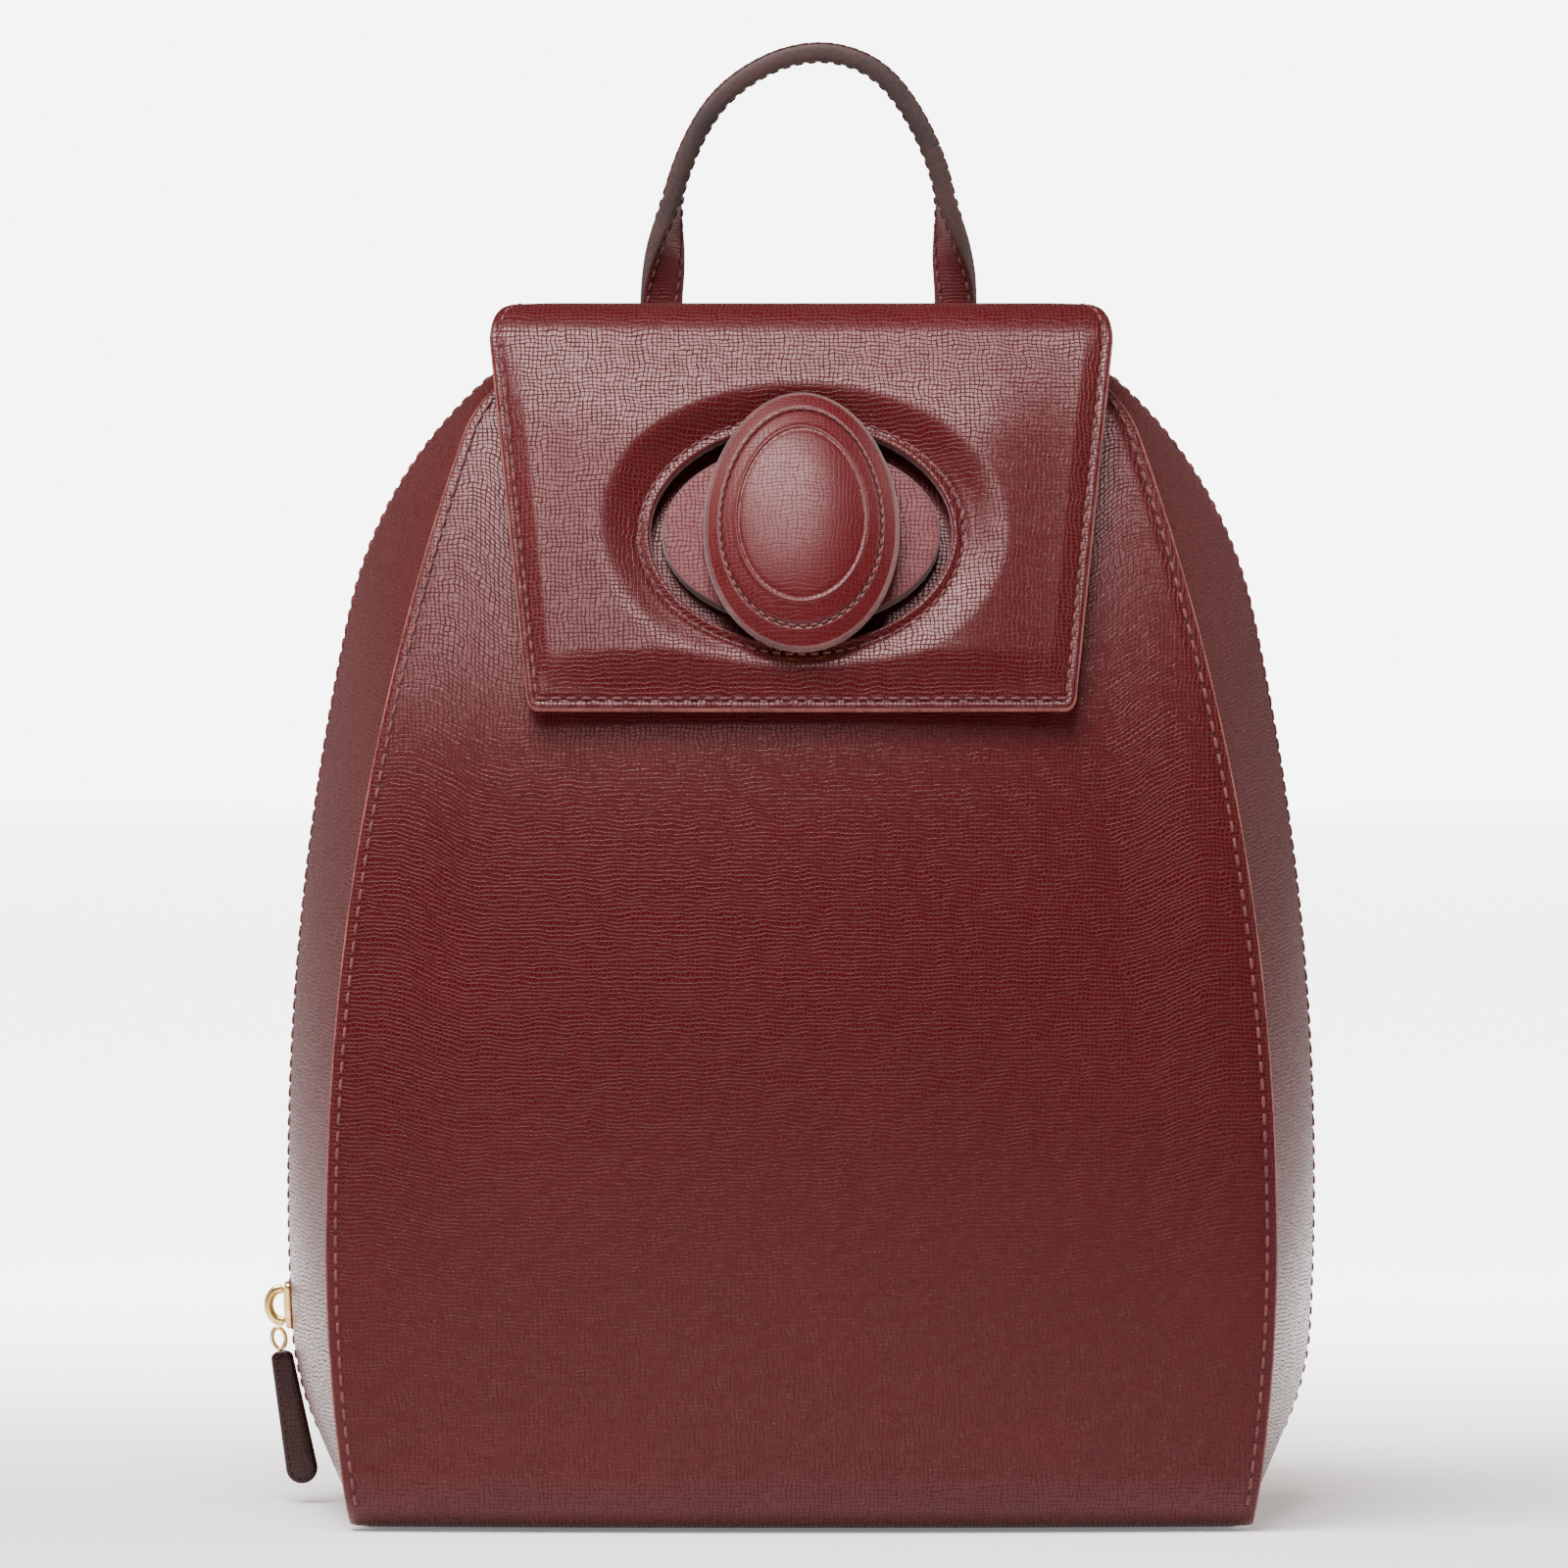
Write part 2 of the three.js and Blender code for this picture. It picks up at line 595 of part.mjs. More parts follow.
// The bail's wire: half sizes of its section, and its arch as distances out of the gusset and up the zip.
const BAIL = { wire: [0.7, 1.2], arch: [[2.8, 3.4], [4.6, 2.6], [5.2, 0], [4.6, -2.6], [2.8, -3.4]] };

function buildSlider() {
  const p = onArch(outline, shareAtHeight(outline, SLIDER.height) - 1);
  const tilt = Math.atan2(p.nz, -p.nx);
  // Pieces are drawn with x out of the gusset, z up the zip, then turned onto the body's left side.
  const place = (geometry) => {
    geometry.rotateZ(Math.PI).rotateY(tilt).translate(p.x, ZIP_CENTRE, p.z);
    return closed(geometry);
  };
  const plate = (low, high) => {
    const shape = roundedRectangle(...SLIDER.half, SLIDER.cornerRadius);
    const geometry = extruded(shape, high - low, 3);
    return geometry.rotateX(Math.PI / 2).rotateZ(Math.PI / 2).translate(low, 0, 0);
  };
  const underside = TEETH.bottom - SLIDER.under;
  add('slider_top', place(plate(TEETH.top + 0.4, SLIDER.top)), gold());
  add('slider_bottom', place(plate(underside - SLIDER.wall, underside)), gold());
  const arch = new THREE.CatmullRomCurve3(BAIL.arch.map(([out, up]) => new THREE.Vector3(out, 0, up)));
  const wire = { steps: 14, curveSegments: 4, extrudePath: arch };
  add('slider_bail', place(new THREE.ExtrudeGeometry(ellipse(...BAIL.wire), wire)), gold());
}

// The pull hangs from its pivot: its tab's half widths and lengths are measured from there.
const PULL = {
  x: -122.2,
  z: 38.2,
  lean: 10,
  top: 3,
  length: 34.6,
  halfTop: 2.6,
  halfLow: 3.7,
  thickness: 2.6,
  link: { drop: 0.4, outer: [2, 2.2], inner: [1.1, 1.3], thickness: 1.4 },
};

function buildPull() {
  const link = new THREE.Shape();
  link.absellipse(0, -PULL.link.drop, ...PULL.link.outer, 0, 2 * Math.PI);
  link.holes.push(new THREE.Path().absellipse(0, -PULL.link.drop, ...PULL.link.inner, 0, 2 * Math.PI));
  const tab = new THREE.Shape();
  tab.moveTo(-PULL.halfTop, -PULL.top);
  tab.lineTo(-PULL.halfLow, -PULL.length + PULL.halfLow);
  tab.absarc(0, -PULL.length + PULL.halfLow, PULL.halfLow, Math.PI, 2 * Math.PI);
  tab.lineTo(PULL.halfTop, -PULL.top);
  const hang = (shape, thickness) => {
    const geometry = extruded(shape, thickness, 7);
    geometry.translate(0, 0, -thickness / 2).rotateX(Math.PI / 2);
    return geometry.rotateY(-radians(PULL.lean)).translate(PULL.x, ZIP_CENTRE, PULL.z);
  };
  add('pull_link', hang(link, PULL.link.thickness), gold());
  add('pull_tab', hang(tab, PULL.thickness), darkLeather());
}

// ---------------------------------------------------------------- ribbons

// The frame of a ribbon: x across its width, y along it, z out of its outer face.
function ribbonFrame(curve, t, across) {
  const along = curve.getTangentAt(t);
  const width = across(t).addScaledVector(along, -across(t).dot(along)).normalize();
  const out = new THREE.Vector3().crossVectors(width, along);
  return new THREE.Matrix4().makeBasis(width, along, out).setPosition(curve.getPointAt(t));
}

function ribbon(curve, { from, to, width, thickness, lift = 0, steps, across }) {
  return slab(1, steps, 1, (u, v, w) => {
    const local = new THREE.Vector3((u - 0.5) * width, 0, lift + (w - 0.5) * thickness);
    return local.applyMatrix4(ribbonFrame(curve, lerp(from, to, v), across));
  });
}

// ---------------------------------------------------------------- handle

function buildHandle() {
  const line = [
    [HANDLE.left, HANDLE.pivotZ],
    [HANDLE.left, HANDLE_STRAIGHT[0]],
    ...HANDLE_ARCH,
    [HANDLE.right - 0.5, HANDLE_STRAIGHT[1]],
    [HANDLE.right, HANDLE.pivotZ],
  ];
  const curve = new THREE.CatmullRomCurve3(line.map(([x, z]) => new THREE.Vector3(x, HANDLE.pivotY, z)));
  // The strap lies flat on the back at each end and turns edge-on within its first fifth.
  const across = (t) => {
    const turn = (Math.PI / 2) * THREE.MathUtils.smoothstep(Math.min(t, 1 - t), 0.03, 0.22);
    const side = t < 0.5 ? 1 : -1;
    return new THREE.Vector3(side * Math.cos(turn), Math.sin(turn), 0);
  };
  const sized = { width: HANDLE.width, thickness: HANDLE.thickness, steps: 25, across };
  const halves = [
    toManifold(ribbon(curve, { ...sized, from: 0, to: 0.5 })),
    toManifold(ribbon(curve, { ...sized, from: 0.5, to: 1 })),
  ];
  add('handle_strap', fromManifold(halves[0].add(halves[1])), darkLeather());
  const tabMiddle = HANDLE.pivotZ - HANDLE_TAB.top - HANDLE_TAB.halfLength;
  for (const [name, x] of [['left', HANDLE.left], ['right', HANDLE.right]]) {
    const tab = roundedRectangle(HANDLE.width / 2, HANDLE_TAB.halfLength, HANDLE_TAB.cornerRadius);
    const plate = uprightPlate(tab, BACK_FACE + GAP, BACK_FACE + GAP + HANDLE_TAB.depth, 4);
    add(`handle_tab_${name}`, plate.translate(x, 0, tabMiddle), burgundy());
  }
}

// ---------------------------------------------------------------- shoulder straps

function strapCurve(side) {
  return new THREE.CatmullRomCurve3(STRAP.line.map(([x, y, z]) => new THREE.Vector3(side * x, y, z)));
}

const acrossX = () => new THREE.Vector3(1, 0, 0);

function buildStrap(name, side) {
  const curve = strapCurve(side);
  const sized = { width: STRAP.width, thickness: STRAP.thickness, across: acrossX };
  // The buckle's frame: x across the strap, y down along it, z out of one face.
  const frame = ribbonFrame(curve, BUCKLE.at, acrossX);
  const outward = new THREE.Vector3().setFromMatrixColumn(frame, 2).y > 0 ? 1 : -1;
  const slot = closed(new THREE.BoxGeometry(...PRONG_SLOT.size).translate(0, PRONG_SLOT.shift, 0));
  const upper = ribbon(curve, { ...sized, from: 0, to: STRAP.tip, steps: 30 });
  add(`shoulder_strap_${name}`, cut(upper, slot.applyMatrix4(frame)), burgundy());
  const under = { from: STRAP.lowerStart, to: 1, lift: outward * STRAP.under, steps: 16 };
  add(`lower_strap_${name}`, ribbon(curve, { ...sized, ...under }), burgundy());
  buildBuckle(name, (x, y, z) => new THREE.Vector3(x, y, outward * z).applyMatrix4(frame));
  buildKeeper(name, curve, outward);
  buildRing(name, side);
}

// A wire frame whose lower bar lies over the strap and whose upper bar lies under it, with a prong.
function buildBuckle(name, place) {
  const [w, l, h] = [BUCKLE.half, BUCKLE.length, BUCKLE.rise];
  const bow = 0.3;
  const half = [[-w, 0, -h], [-w / 2, bow, -h], [w / 2, bow, -h], [w, 0, -h], [w, -l / 2, 0]];
  const otherHalf = half.map(([x, y, z]) => [-x, -l - y, -z]);
  const loop = [...half, ...otherHalf].map((p) => place(...p));
  add(`strap_buckle_${name}`, closedWire(loop, BUCKLE.wire), gold());
  const line = new THREE.CatmullRomCurve3(PRONG.path.map(([y, z]) => place(0, y, z)));
  const wire = { steps: 10, curveSegments: 3, extrudePath: line };
  const prong = new THREE.ExtrudeGeometry(ellipse(PRONG.radius, PRONG.radius), wire);
  add(`buckle_prong_${name}`, closed(prong), gold());
}

// A leather loop that holds the strap's tip against the lower strap.
function buildKeeper(name, curve, outward) {
  const { under, over, wall } = KEEPER;
  const halfWidth = STRAP.width / 2 + KEEPER.clearance;
  const halfDepth = (over + under) / 2;
  const shape = roundedRectangle(halfWidth + wall, halfDepth + wall, 1);
  shape.holes.push(roundedRectangle(halfWidth, halfDepth, 0.6));
  const geometry = extruded(shape, KEEPER.length, 3).rotateX(-Math.PI / 2);
  geometry.translate(0, 0, outward * (over - under) / 2);
  add(`strap_keeper_${name}`, geometry.applyMatrix4(ribbonFrame(curve, KEEPER.at, acrossX)), burgundy());
}

// A rectangular wire ring that leans towards the strap, in a leather tab on the back.
function buildRing(name, side) {
  const { half, reach } = RING;
  const toStrap = new THREE.Vector3(...RING.lean);
  const centre = new THREE.Vector3(side * RING.x, RING.y, RING.z);
  const corners = [[-half, -1], [half, -1], [half, 1], [-half, 1]];
  const loop = [];
  corners.forEach(([x, d], i) => {
    const [nextX, nextD] = corners[(i + 1) % corners.length];
    for (const share of [0.08, 0.5, 0.92]) {
      const point = centre.clone().addScaledVector(toStrap, lerp(d, nextD, share) * reach);
      point.x += lerp(x, nextX, share);
      loop.push(point);
    }
  });
  add(`strap_ring_${name}`, closedWire(loop, RING.wire), gold());
  const shape = roundedRectangle(RING_TAB.half, RING_TAB.half, RING_TAB.cornerRadius);
  const tab = uprightPlate(shape, BACK_FACE + GAP, BACK_FACE + GAP + LEATHER, 3);
  add(`ring_tab_${name}`, tab.translate(side * RING.x, 0, RING_TAB.z), burgundy());
}

function buildStraps() {
  const shape = roundedRectangle(...ANCHOR.half, ANCHOR.cornerRadius);
  const patch = uprightPlate(shape, BACK_FACE + GAP, BACK_FACE + GAP + LEATHER, 4);
  add('strap_anchor', patch.translate(0, 0, ANCHOR.z), burgundy());
  buildStrap('left', -1);
  buildStrap('right', 1);
}

// ---------------------------------------------------------------- the backpack

buildFrontPanels();
buildGussets();
buildZip();
buildBack();
buildBase();
buildFlap();
buildLock();
buildKnob();
buildSlider();
buildPull();
buildHandle();
buildStraps();

export default bag;
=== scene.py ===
"""A burgundy leather backpack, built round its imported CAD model: pieces, materials, light and camera.

Shapes are worked out in millimetres, in the CAD model's frame, and made into meshes in metres.
"""
import math

import bmesh
import bpy
import numpy as np
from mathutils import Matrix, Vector


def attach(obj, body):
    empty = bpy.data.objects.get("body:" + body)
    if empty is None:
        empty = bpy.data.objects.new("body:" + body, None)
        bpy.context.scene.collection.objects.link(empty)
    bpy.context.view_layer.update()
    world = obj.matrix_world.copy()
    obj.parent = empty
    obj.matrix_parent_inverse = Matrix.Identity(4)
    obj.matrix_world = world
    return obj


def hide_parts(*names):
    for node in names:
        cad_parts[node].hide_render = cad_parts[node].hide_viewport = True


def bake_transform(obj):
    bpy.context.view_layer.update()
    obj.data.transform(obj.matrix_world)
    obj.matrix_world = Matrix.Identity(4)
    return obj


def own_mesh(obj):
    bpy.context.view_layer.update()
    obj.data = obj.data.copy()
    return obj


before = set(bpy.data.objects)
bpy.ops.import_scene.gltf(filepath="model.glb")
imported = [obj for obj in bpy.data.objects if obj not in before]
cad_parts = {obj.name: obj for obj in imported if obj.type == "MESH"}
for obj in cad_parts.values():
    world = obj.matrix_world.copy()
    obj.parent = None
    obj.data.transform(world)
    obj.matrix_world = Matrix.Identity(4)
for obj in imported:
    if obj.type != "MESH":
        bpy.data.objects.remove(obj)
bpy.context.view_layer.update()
MM = 0.001

# ---------------------------------------------------------------- dimensions, in millimetres

LEATHER = 2.0
BACK_FACE = 58.0
BACK_INSET = 3.0
ZIP_CENTRE = 30.0
ZIP_OPEN_HALF = 4.5
GUSSET_FOOT = 2.3
FRONT_TOP = 268.0
MOUTH_HEIGHT = 252.0
HEEL = (-48.0, 12.0, 12.0)              # y, z and radius of the turned lower front corner
OUTLINE = (100.6, -44.4, ((65, -3.1), (622, 12.3), (100, 52), (45, 90)))
SEAM = (101.3, -9.5, ((400, 0), (568, 18.9), (26.6, 90)))
LOCK_Z = 226.5
LOCK_DROP = 1.0                         # the flap's hole sits this far below the knob's middle
KNOB_HALF = (22.5, 33.0)
KNOB_EGG = 0.06
LIP_HALF = (35.0, 28.0)
PLATE_HALF = (32.0, 23.0)


# ---------------------------------------------------------------- curves

def unit(v):
    return v / np.maximum(np.linalg.norm(v, axis=-1, keepdims=True), 1e-9)


class Line:
    """A smooth line through many points, read by its share of the length, with its tangent."""

    def __init__(self, points):
        points = np.asarray(points, float)
        moves = np.linalg.norm(np.diff(points, axis=0), axis=1) > 1e-6
        self.kept = np.concatenate([[True], moves])
        self.points = points[self.kept]
        step = np.linalg.norm(np.diff(self.points, axis=0), axis=1)
        self.travel = np.concatenate([[0], np.cumsum(step)])
        self.length = self.travel[-1]
        self.tangents = unit(np.gradient(self.points, self.travel, axis=0))

    def at(self, t):
        far = np.asarray(t, float) * self.length
        columns = range(self.points.shape[1])
        p = np.stack([np.interp(far, self.travel, self.points[:, i]) for i in columns], axis=-1)
        d = np.stack([np.interp(far, self.travel, self.tangents[:, i]) for i in columns], axis=-1)
        return p, unit(d)

    def share_at(self, height):
        """The share of a rising line at which its second coordinate reaches a height."""
        return np.interp(height, self.points[:, 1], self.travel) / self.length


def arc_points(centre, radius, start, end, count=200):
    a = np.radians(np.linspace(start, end, count))
    return np.stack([centre[0] + radius * np.cos(a), centre[1] + radius * np.sin(a)], axis=1)


def bezier_points(p0, p1, p2, p3, count=400):
    t = np.linspace(0, 1, count)[:, None]
    p0, p1, p2, p3 = map(np.asarray, (p0, p1, p2, p3))
    return (1 - t) ** 3 * p0 + 3 * t * (1 - t) ** 2 * p1 + 3 * t * t * (1 - t) * p2 + t ** 3 * p3


def joined(*runs):
    return Line(np.concatenate([runs[0]] + [r[1:] for r in runs[1:]]))


def spline(points, count=400):
    """A smooth line through a few points (Catmull-Rom)."""
    p = np.asarray(points, float)
    p = np.concatenate([[2 * p[0] - p[1]], p, [2 * p[-1] - p[-2]]])
    out = []
    for a, b, c, d in zip(p, p[1:], p[2:], p[3:]):
        t = np.linspace(0, 1, count // len(points), endpoint=False)[:, None]
        out.append(0.5 * (2 * b + (c - a) * t + (2 * a - 5 * b + 4 * c - d) * t ** 2
                          + (3 * b - a - 3 * c + d) * t ** 3))
    return Line(np.concatenate(out + [p[-2:-1]]))


def half_arch(start, inset=0.0):
    """A half outline in x and z: tangent arcs from the base to the crown, then straight to the middle."""
    x, angle, arcs = start
    corner = np.array([x, 0.0])
    runs = []
    for radius, end in arcs:
        a, b = math.radians(angle), math.radians(end)
        centre = corner - radius * np.array([math.cos(a), math.sin(a)])
        runs.append(arc_points(centre, radius - inset, angle, end))
        corner = centre + radius * np.array([math.cos(b), math.sin(b)])
        angle = end
    top = runs[-1][-1]
    runs.append(np.stack([np.linspace(top[0], 0, 60), np.full(60, top[1])], axis=1))
    return joined(*runs)


outline = half_arch(OUTLINE)
back_outline = half_arch(OUTLINE, BACK_INSET)
seam = half_arch(SEAM)
profile = joined(
    arc_points(HEEL[:2], HEEL[2], 270, 180),
    bezier_points((-60, 12), (-60, 120), (-62.3, 178), (-2, FRONT_TOP)),
)


def on_arch(line, s):
    """x, z and the outward normal on a full arch: s runs from -1, bottom left, over the crown to 1."""
    s = np.asarray(s, float)
    side = np.where(s < 0, -1.0, 1.0)
    p, d = line.at(1 - np.abs(s))
    return side * p[..., 0], p[..., 1], side * d[..., 1], -d[..., 0]


def half_width(z):
    """Half the front's width between its seams; the crown's flat top counts as just below itself."""
    return np.interp(np.minimum(z, seam.points[-1, 1] - 0.05), seam.points[:, 1], seam.points[:, 0])


def front_bow(z):
    return np.interp(z, (0, 130, FRONT_TOP), (4, 7, 4))


def front_point(x, t, depth=0.0):
    """A point set back by depth behind the front surface, at x and a share t of the middle line."""
    p, d = profile.at(t)
    across = x / half_width(p[..., 1])
    y = p[..., 0] + front_bow(p[..., 1]) * across ** 2 + depth * d[..., 1]
    return np.stack([x + 0 * y, y, p[..., 1] - depth * d[..., 0]], axis=-1)


def smooth(x, low, high):
    t = np.clip((x - low) / (high - low), 0, 1)
    return t * t * (3 - 2 * t)


# ---------------------------------------------------------------- meshes

def mesh_object(name, verts, faces, materials, face_slots=None, grain=None, shade=True):
    mesh = bpy.data.meshes.new(name)
    mesh.from_pydata((np.asarray(verts) * MM).tolist(), [], faces)
    for m in materials:
        mesh.materials.append(m)
    if face_slots is not None:
        mesh.polygons.foreach_set("material_index", np.asarray(face_slots, np.int32))
    if grain is not None:
        at = mesh.attributes.new("grain", "FLOAT_VECTOR", "POINT")
        at.data.foreach_set("vector", np.asarray(grain, np.float32).ravel())
    mesh.polygons.foreach_set("use_smooth", np.full(len(mesh.polygons), shade))
    mesh.update()
    thing = bpy.data.objects.new(name, mesh)
    bpy.context.scene.collection.objects.link(thing)
    return thing


def ring_faces(rings, n, closed=False):
    """Four-sided faces between rings of n points that follow one another in a list."""
    faces = []
    for i in range(rings if closed else rings - 1):
        a, b = i * n, (i + 1) % rings * n
        faces += [[a + j, a + (j + 1) % n, b + (j + 1) % n, b + j] for j in range(n)]
    return faces


def end_faces(rings, n):
    """The two faces that close a row of rings."""
    return [list(range(n)), [(rings - 1) * n + j for j in range(n)][::-1]]


def repeated(local, faces, at, basis):
    """Corners and faces of one small shape set down at many places, each with its own three axes."""
    verts = (at[:, None] + np.einsum("vk,nkc->nvc", local, basis)).reshape(-1, 3)
    size = len(local)
    return verts, [[v + n * size for v in face] for n in range(len(at)) for face in faces]


def fitted(piece, body, finish, *nodes):
    """Puts a piece in place of its CAD nodes and lets it ride a body; its finish argument is not used."""
    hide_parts(*nodes)
    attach(piece, body)
    return piece


def outward_faces(thing):
    """Turns a closed mesh's faces to point out."""
    bm = bmesh.new()
    bm.from_mesh(thing.data)
    bmesh.ops.recalc_face_normals(bm, faces=bm.faces)
    bm.to_mesh(thing.data)
    bm.free()
    return thing


def grid_faces(nu, nv, start=0):
    i, j = np.meshgrid(np.arange(nu - 1), np.arange(nv - 1), indexing="ij")
    a = start + i * nv + j
    return np.stack([a, a + nv, a + nv + 1, a + 1], axis=-1).reshape(-1, 4).tolist()


def surface_normals(p):
    du, dv = np.gradient(p, axis=0), np.gradient(p, axis=1)
    return unit(np.cross(du, dv))


def rim_loop(nu, nv):
    """The grid places round the edge of a sheet, once round."""
    top = [(i, 0) for i in range(nu)]
    right = [(nu - 1, j) for j in range(1, nv)]
    bottom = [(i, nv - 1) for i in range(nu - 2, -1, -1)]
    left = [(0, j) for j in range(nv - 2, 0, -1)]
    return np.array(top + right + bottom + left)


def sheet(name, points, materials, thickness=LEATHER, edge_round=0.3, grain=None, flip=False, relief=None):
    """A sheet of leather or cloth from a grid of points on its outer face.

    materials are its outer face, its inner face and its cut edge. relief raises the outer face.
    """
    nu, nv = points.shape[:2]
    normal = surface_normals(points) * (-1 if flip else 1)
    outer = points if relief is None else points + normal * relief[..., None]
    inner = points - normal * thickness
    rim = rim_loop(nu, nv)
    ru, rv = rim.T
    # the cut edge is slightly domed between two close rings
    centre = points.mean(axis=(0, 1))
    ahead = unit(np.roll(points[ru, rv], -1, axis=0) - np.roll(points[ru, rv], 1, axis=0))
    away = unit(np.cross(ahead, normal[ru, rv]))
    if np.mean(np.sum(away * (points[ru, rv] - centre), axis=1)) < 0:
        away = -away
    rings = []
    for depth, out in ((0.18, 0.75), (0.5, 1.0), (0.82, 0.75)):
        rings.append(outer[ru, rv] * (1 - depth) + inner[ru, rv] * depth + away * edge_round * out)
    if grain is None:
        u = np.concatenate([[0], np.cumsum(np.linalg.norm(np.diff(points[:, nv // 2], axis=0), axis=1))])
        v = np.concatenate([[0], np.cumsum(np.linalg.norm(np.diff(points[nu // 2], axis=0), axis=1))])
        grain = np.stack(np.meshgrid(u, v, indexing="ij") + [np.zeros((nu, nv))], axis=-1)
    count = nu * nv
    verts = np.concatenate([outer.reshape(-1, 3), inner.reshape(-1, 3)] + rings)
    coords = grain.reshape(-1, 3)
    edge_coords = grain[ru, rv]
    coords = np.concatenate([coords, coords] + [edge_coords] * 3)
    faces = grid_faces(nu, nv)
    slots = [0] * len(faces)
    back = [f[::-1] for f in grid_faces(nu, nv, count)]
    faces += back
    slots += [1] * len(back)
    ids = ru * nv + rv
    loops = [ids, 2 * count + np.arange(len(rim)), 2 * count + len(rim) + np.arange(len(rim)),
             2 * count + 2 * len(rim) + np.arange(len(rim)), count + ids]
    for a, b in zip(loops, loops[1:]):
        an, bn = np.roll(a, -1), np.roll(b, -1)
        band = np.stack([a, b, bn, an], axis=1).tolist()
        faces += band
        slots += [2] * len(band)
    return outward_faces(mesh_object(name, verts, faces, materials, slots, coords))


def tube(name, line_points, radius, material, sides=12, closed=False, flat=1.0, taper=None):
    """A round or flattened wire along points, with domed ends if it is open."""
    p = np.asarray(line_points, float)
    ahead = unit(np.roll(p, -1, axis=0) - np.roll(p, 1, axis=0)) if closed else unit(np.gradient(p, axis=0))
    up = np.array([0.0, 0.0, 1.0]) if abs(ahead[:, 2]).mean() < 0.8 else np.array([0.0, 1.0, 0.0])
    side = unit(np.cross(ahead, up))
    # carries the side vector along so that the wire doesn't twist
    for i in range(1, len(p)):
        side[i] = side[i - 1] - ahead[i] * np.dot(side[i - 1], ahead[i])
        side[i] /= np.linalg.norm(side[i])
    other = np.cross(ahead, side)
    a = np.linspace(0, 2 * np.pi, sides, endpoint=False)
    scale = np.ones(len(p)) if taper is None else taper
    rings = (p[:, None] + radius * scale[:, None, None]
             * (np.cos(a)[None, :, None] * side[:, None] + flat * np.sin(a)[None, :, None] * other[:, None]))
    n = len(p)
    faces = ring_faces(n, sides, closed)
    verts = rings.reshape(-1, 3)
    if not closed:
        tips = np.stack([p[0] - ahead[0] * radius * 0.5, p[-1] + ahead[-1] * radius * 0.5])
        verts = np.concatenate([verts, tips])
        last = (n - 1) * sides
        faces += [[n * sides, (j + 1) % sides, j] for j in range(sides)]
        faces += [[n * sides + 1, last + j, last + (j + 1) % sides] for j in range(sides)]
    return outward_faces(mesh_object(name, verts, faces, [material], grain=verts))


def stitches(name, points, normals, pitch=3.6, radius=0.42, share=0.74, lean=0.0, colour=None):
    """A row of thread stitches, each a short arched capsule, with a dark disc of painted shade for the hole
    at each end.
    """
    line = Line(points)
    count = max(int(round(line.length / pitch)), 2)
    t = (np.arange(count) + 0.5) / count
    at, ahead = line.at(t)
    travel = line.travel / line.length
    normals = normals[line.kept]
    up = unit(np.stack([np.interp(t, travel, normals[:, i]) for i in range(3)], axis=-1))
    side = unit(np.cross(up, ahead))
    ahead = unit(ahead * math.cos(lean) + side * math.sin(lean))
    side = unit(np.cross(up, ahead))
    half = pitch * share / 2
    rings, sides = 7, 6
    x = np.linspace(-1, 1, rings)
    lift = radius * (0.75 - 1.25 * x ** 4)
    girth = radius * np.sqrt(np.clip(1.02 - x ** 6, 0.08, 1))
    a = np.linspace(0, 2 * np.pi, sides, endpoint=False)
    local = np.stack([np.repeat(x * half, sides),
                      (girth[:, None] * np.cos(a)).ravel(),
                      (lift[:, None] + girth[:, None] * np.sin(a)).ravel()], axis=1)
    faces = ring_faces(rings, sides)
    faces += [face[::-1] for face in end_faces(rings, sides)]
    thread_faces = len(faces)
    # each hole is a dark disc of painted shade, set just proud of the leather
    hole_sides = 8
    b = np.linspace(0, 2 * np.pi, hole_sides, endpoint=False)
    for end in (-1, 1):
        start = len(local)
        ring = np.stack([end * (half + radius * 0.35) + radius * 0.75 * np.cos(b),
                         radius * 0.75 * np.sin(b), np.full(hole_sides, 0.03)], axis=1)
        local = np.concatenate([local, ring, ring - [0, 0, 0.5]])
        faces.append([start + j for j in range(hole_sides)])
        faces.append([start + hole_sides + j for j in range(hole_sides)][::-1])
        faces += [[start + j, start + hole_sides + j, start + hole_sides + (j + 1) % hole_sides,
                   start + (j + 1) % hole_sides] for j in range(hole_sides)]
    slots = [0] * thread_faces + [1] * (len(faces) - thread_faces)
    basis = np.stack([ahead, side, up], axis=1)
    verts, every = repeated(local, faces, at, basis)
    return mesh_object(name, verts, every, [colour or thread, hole_shade], slots * count, verts)


# ---------------------------------------------------------------- materials

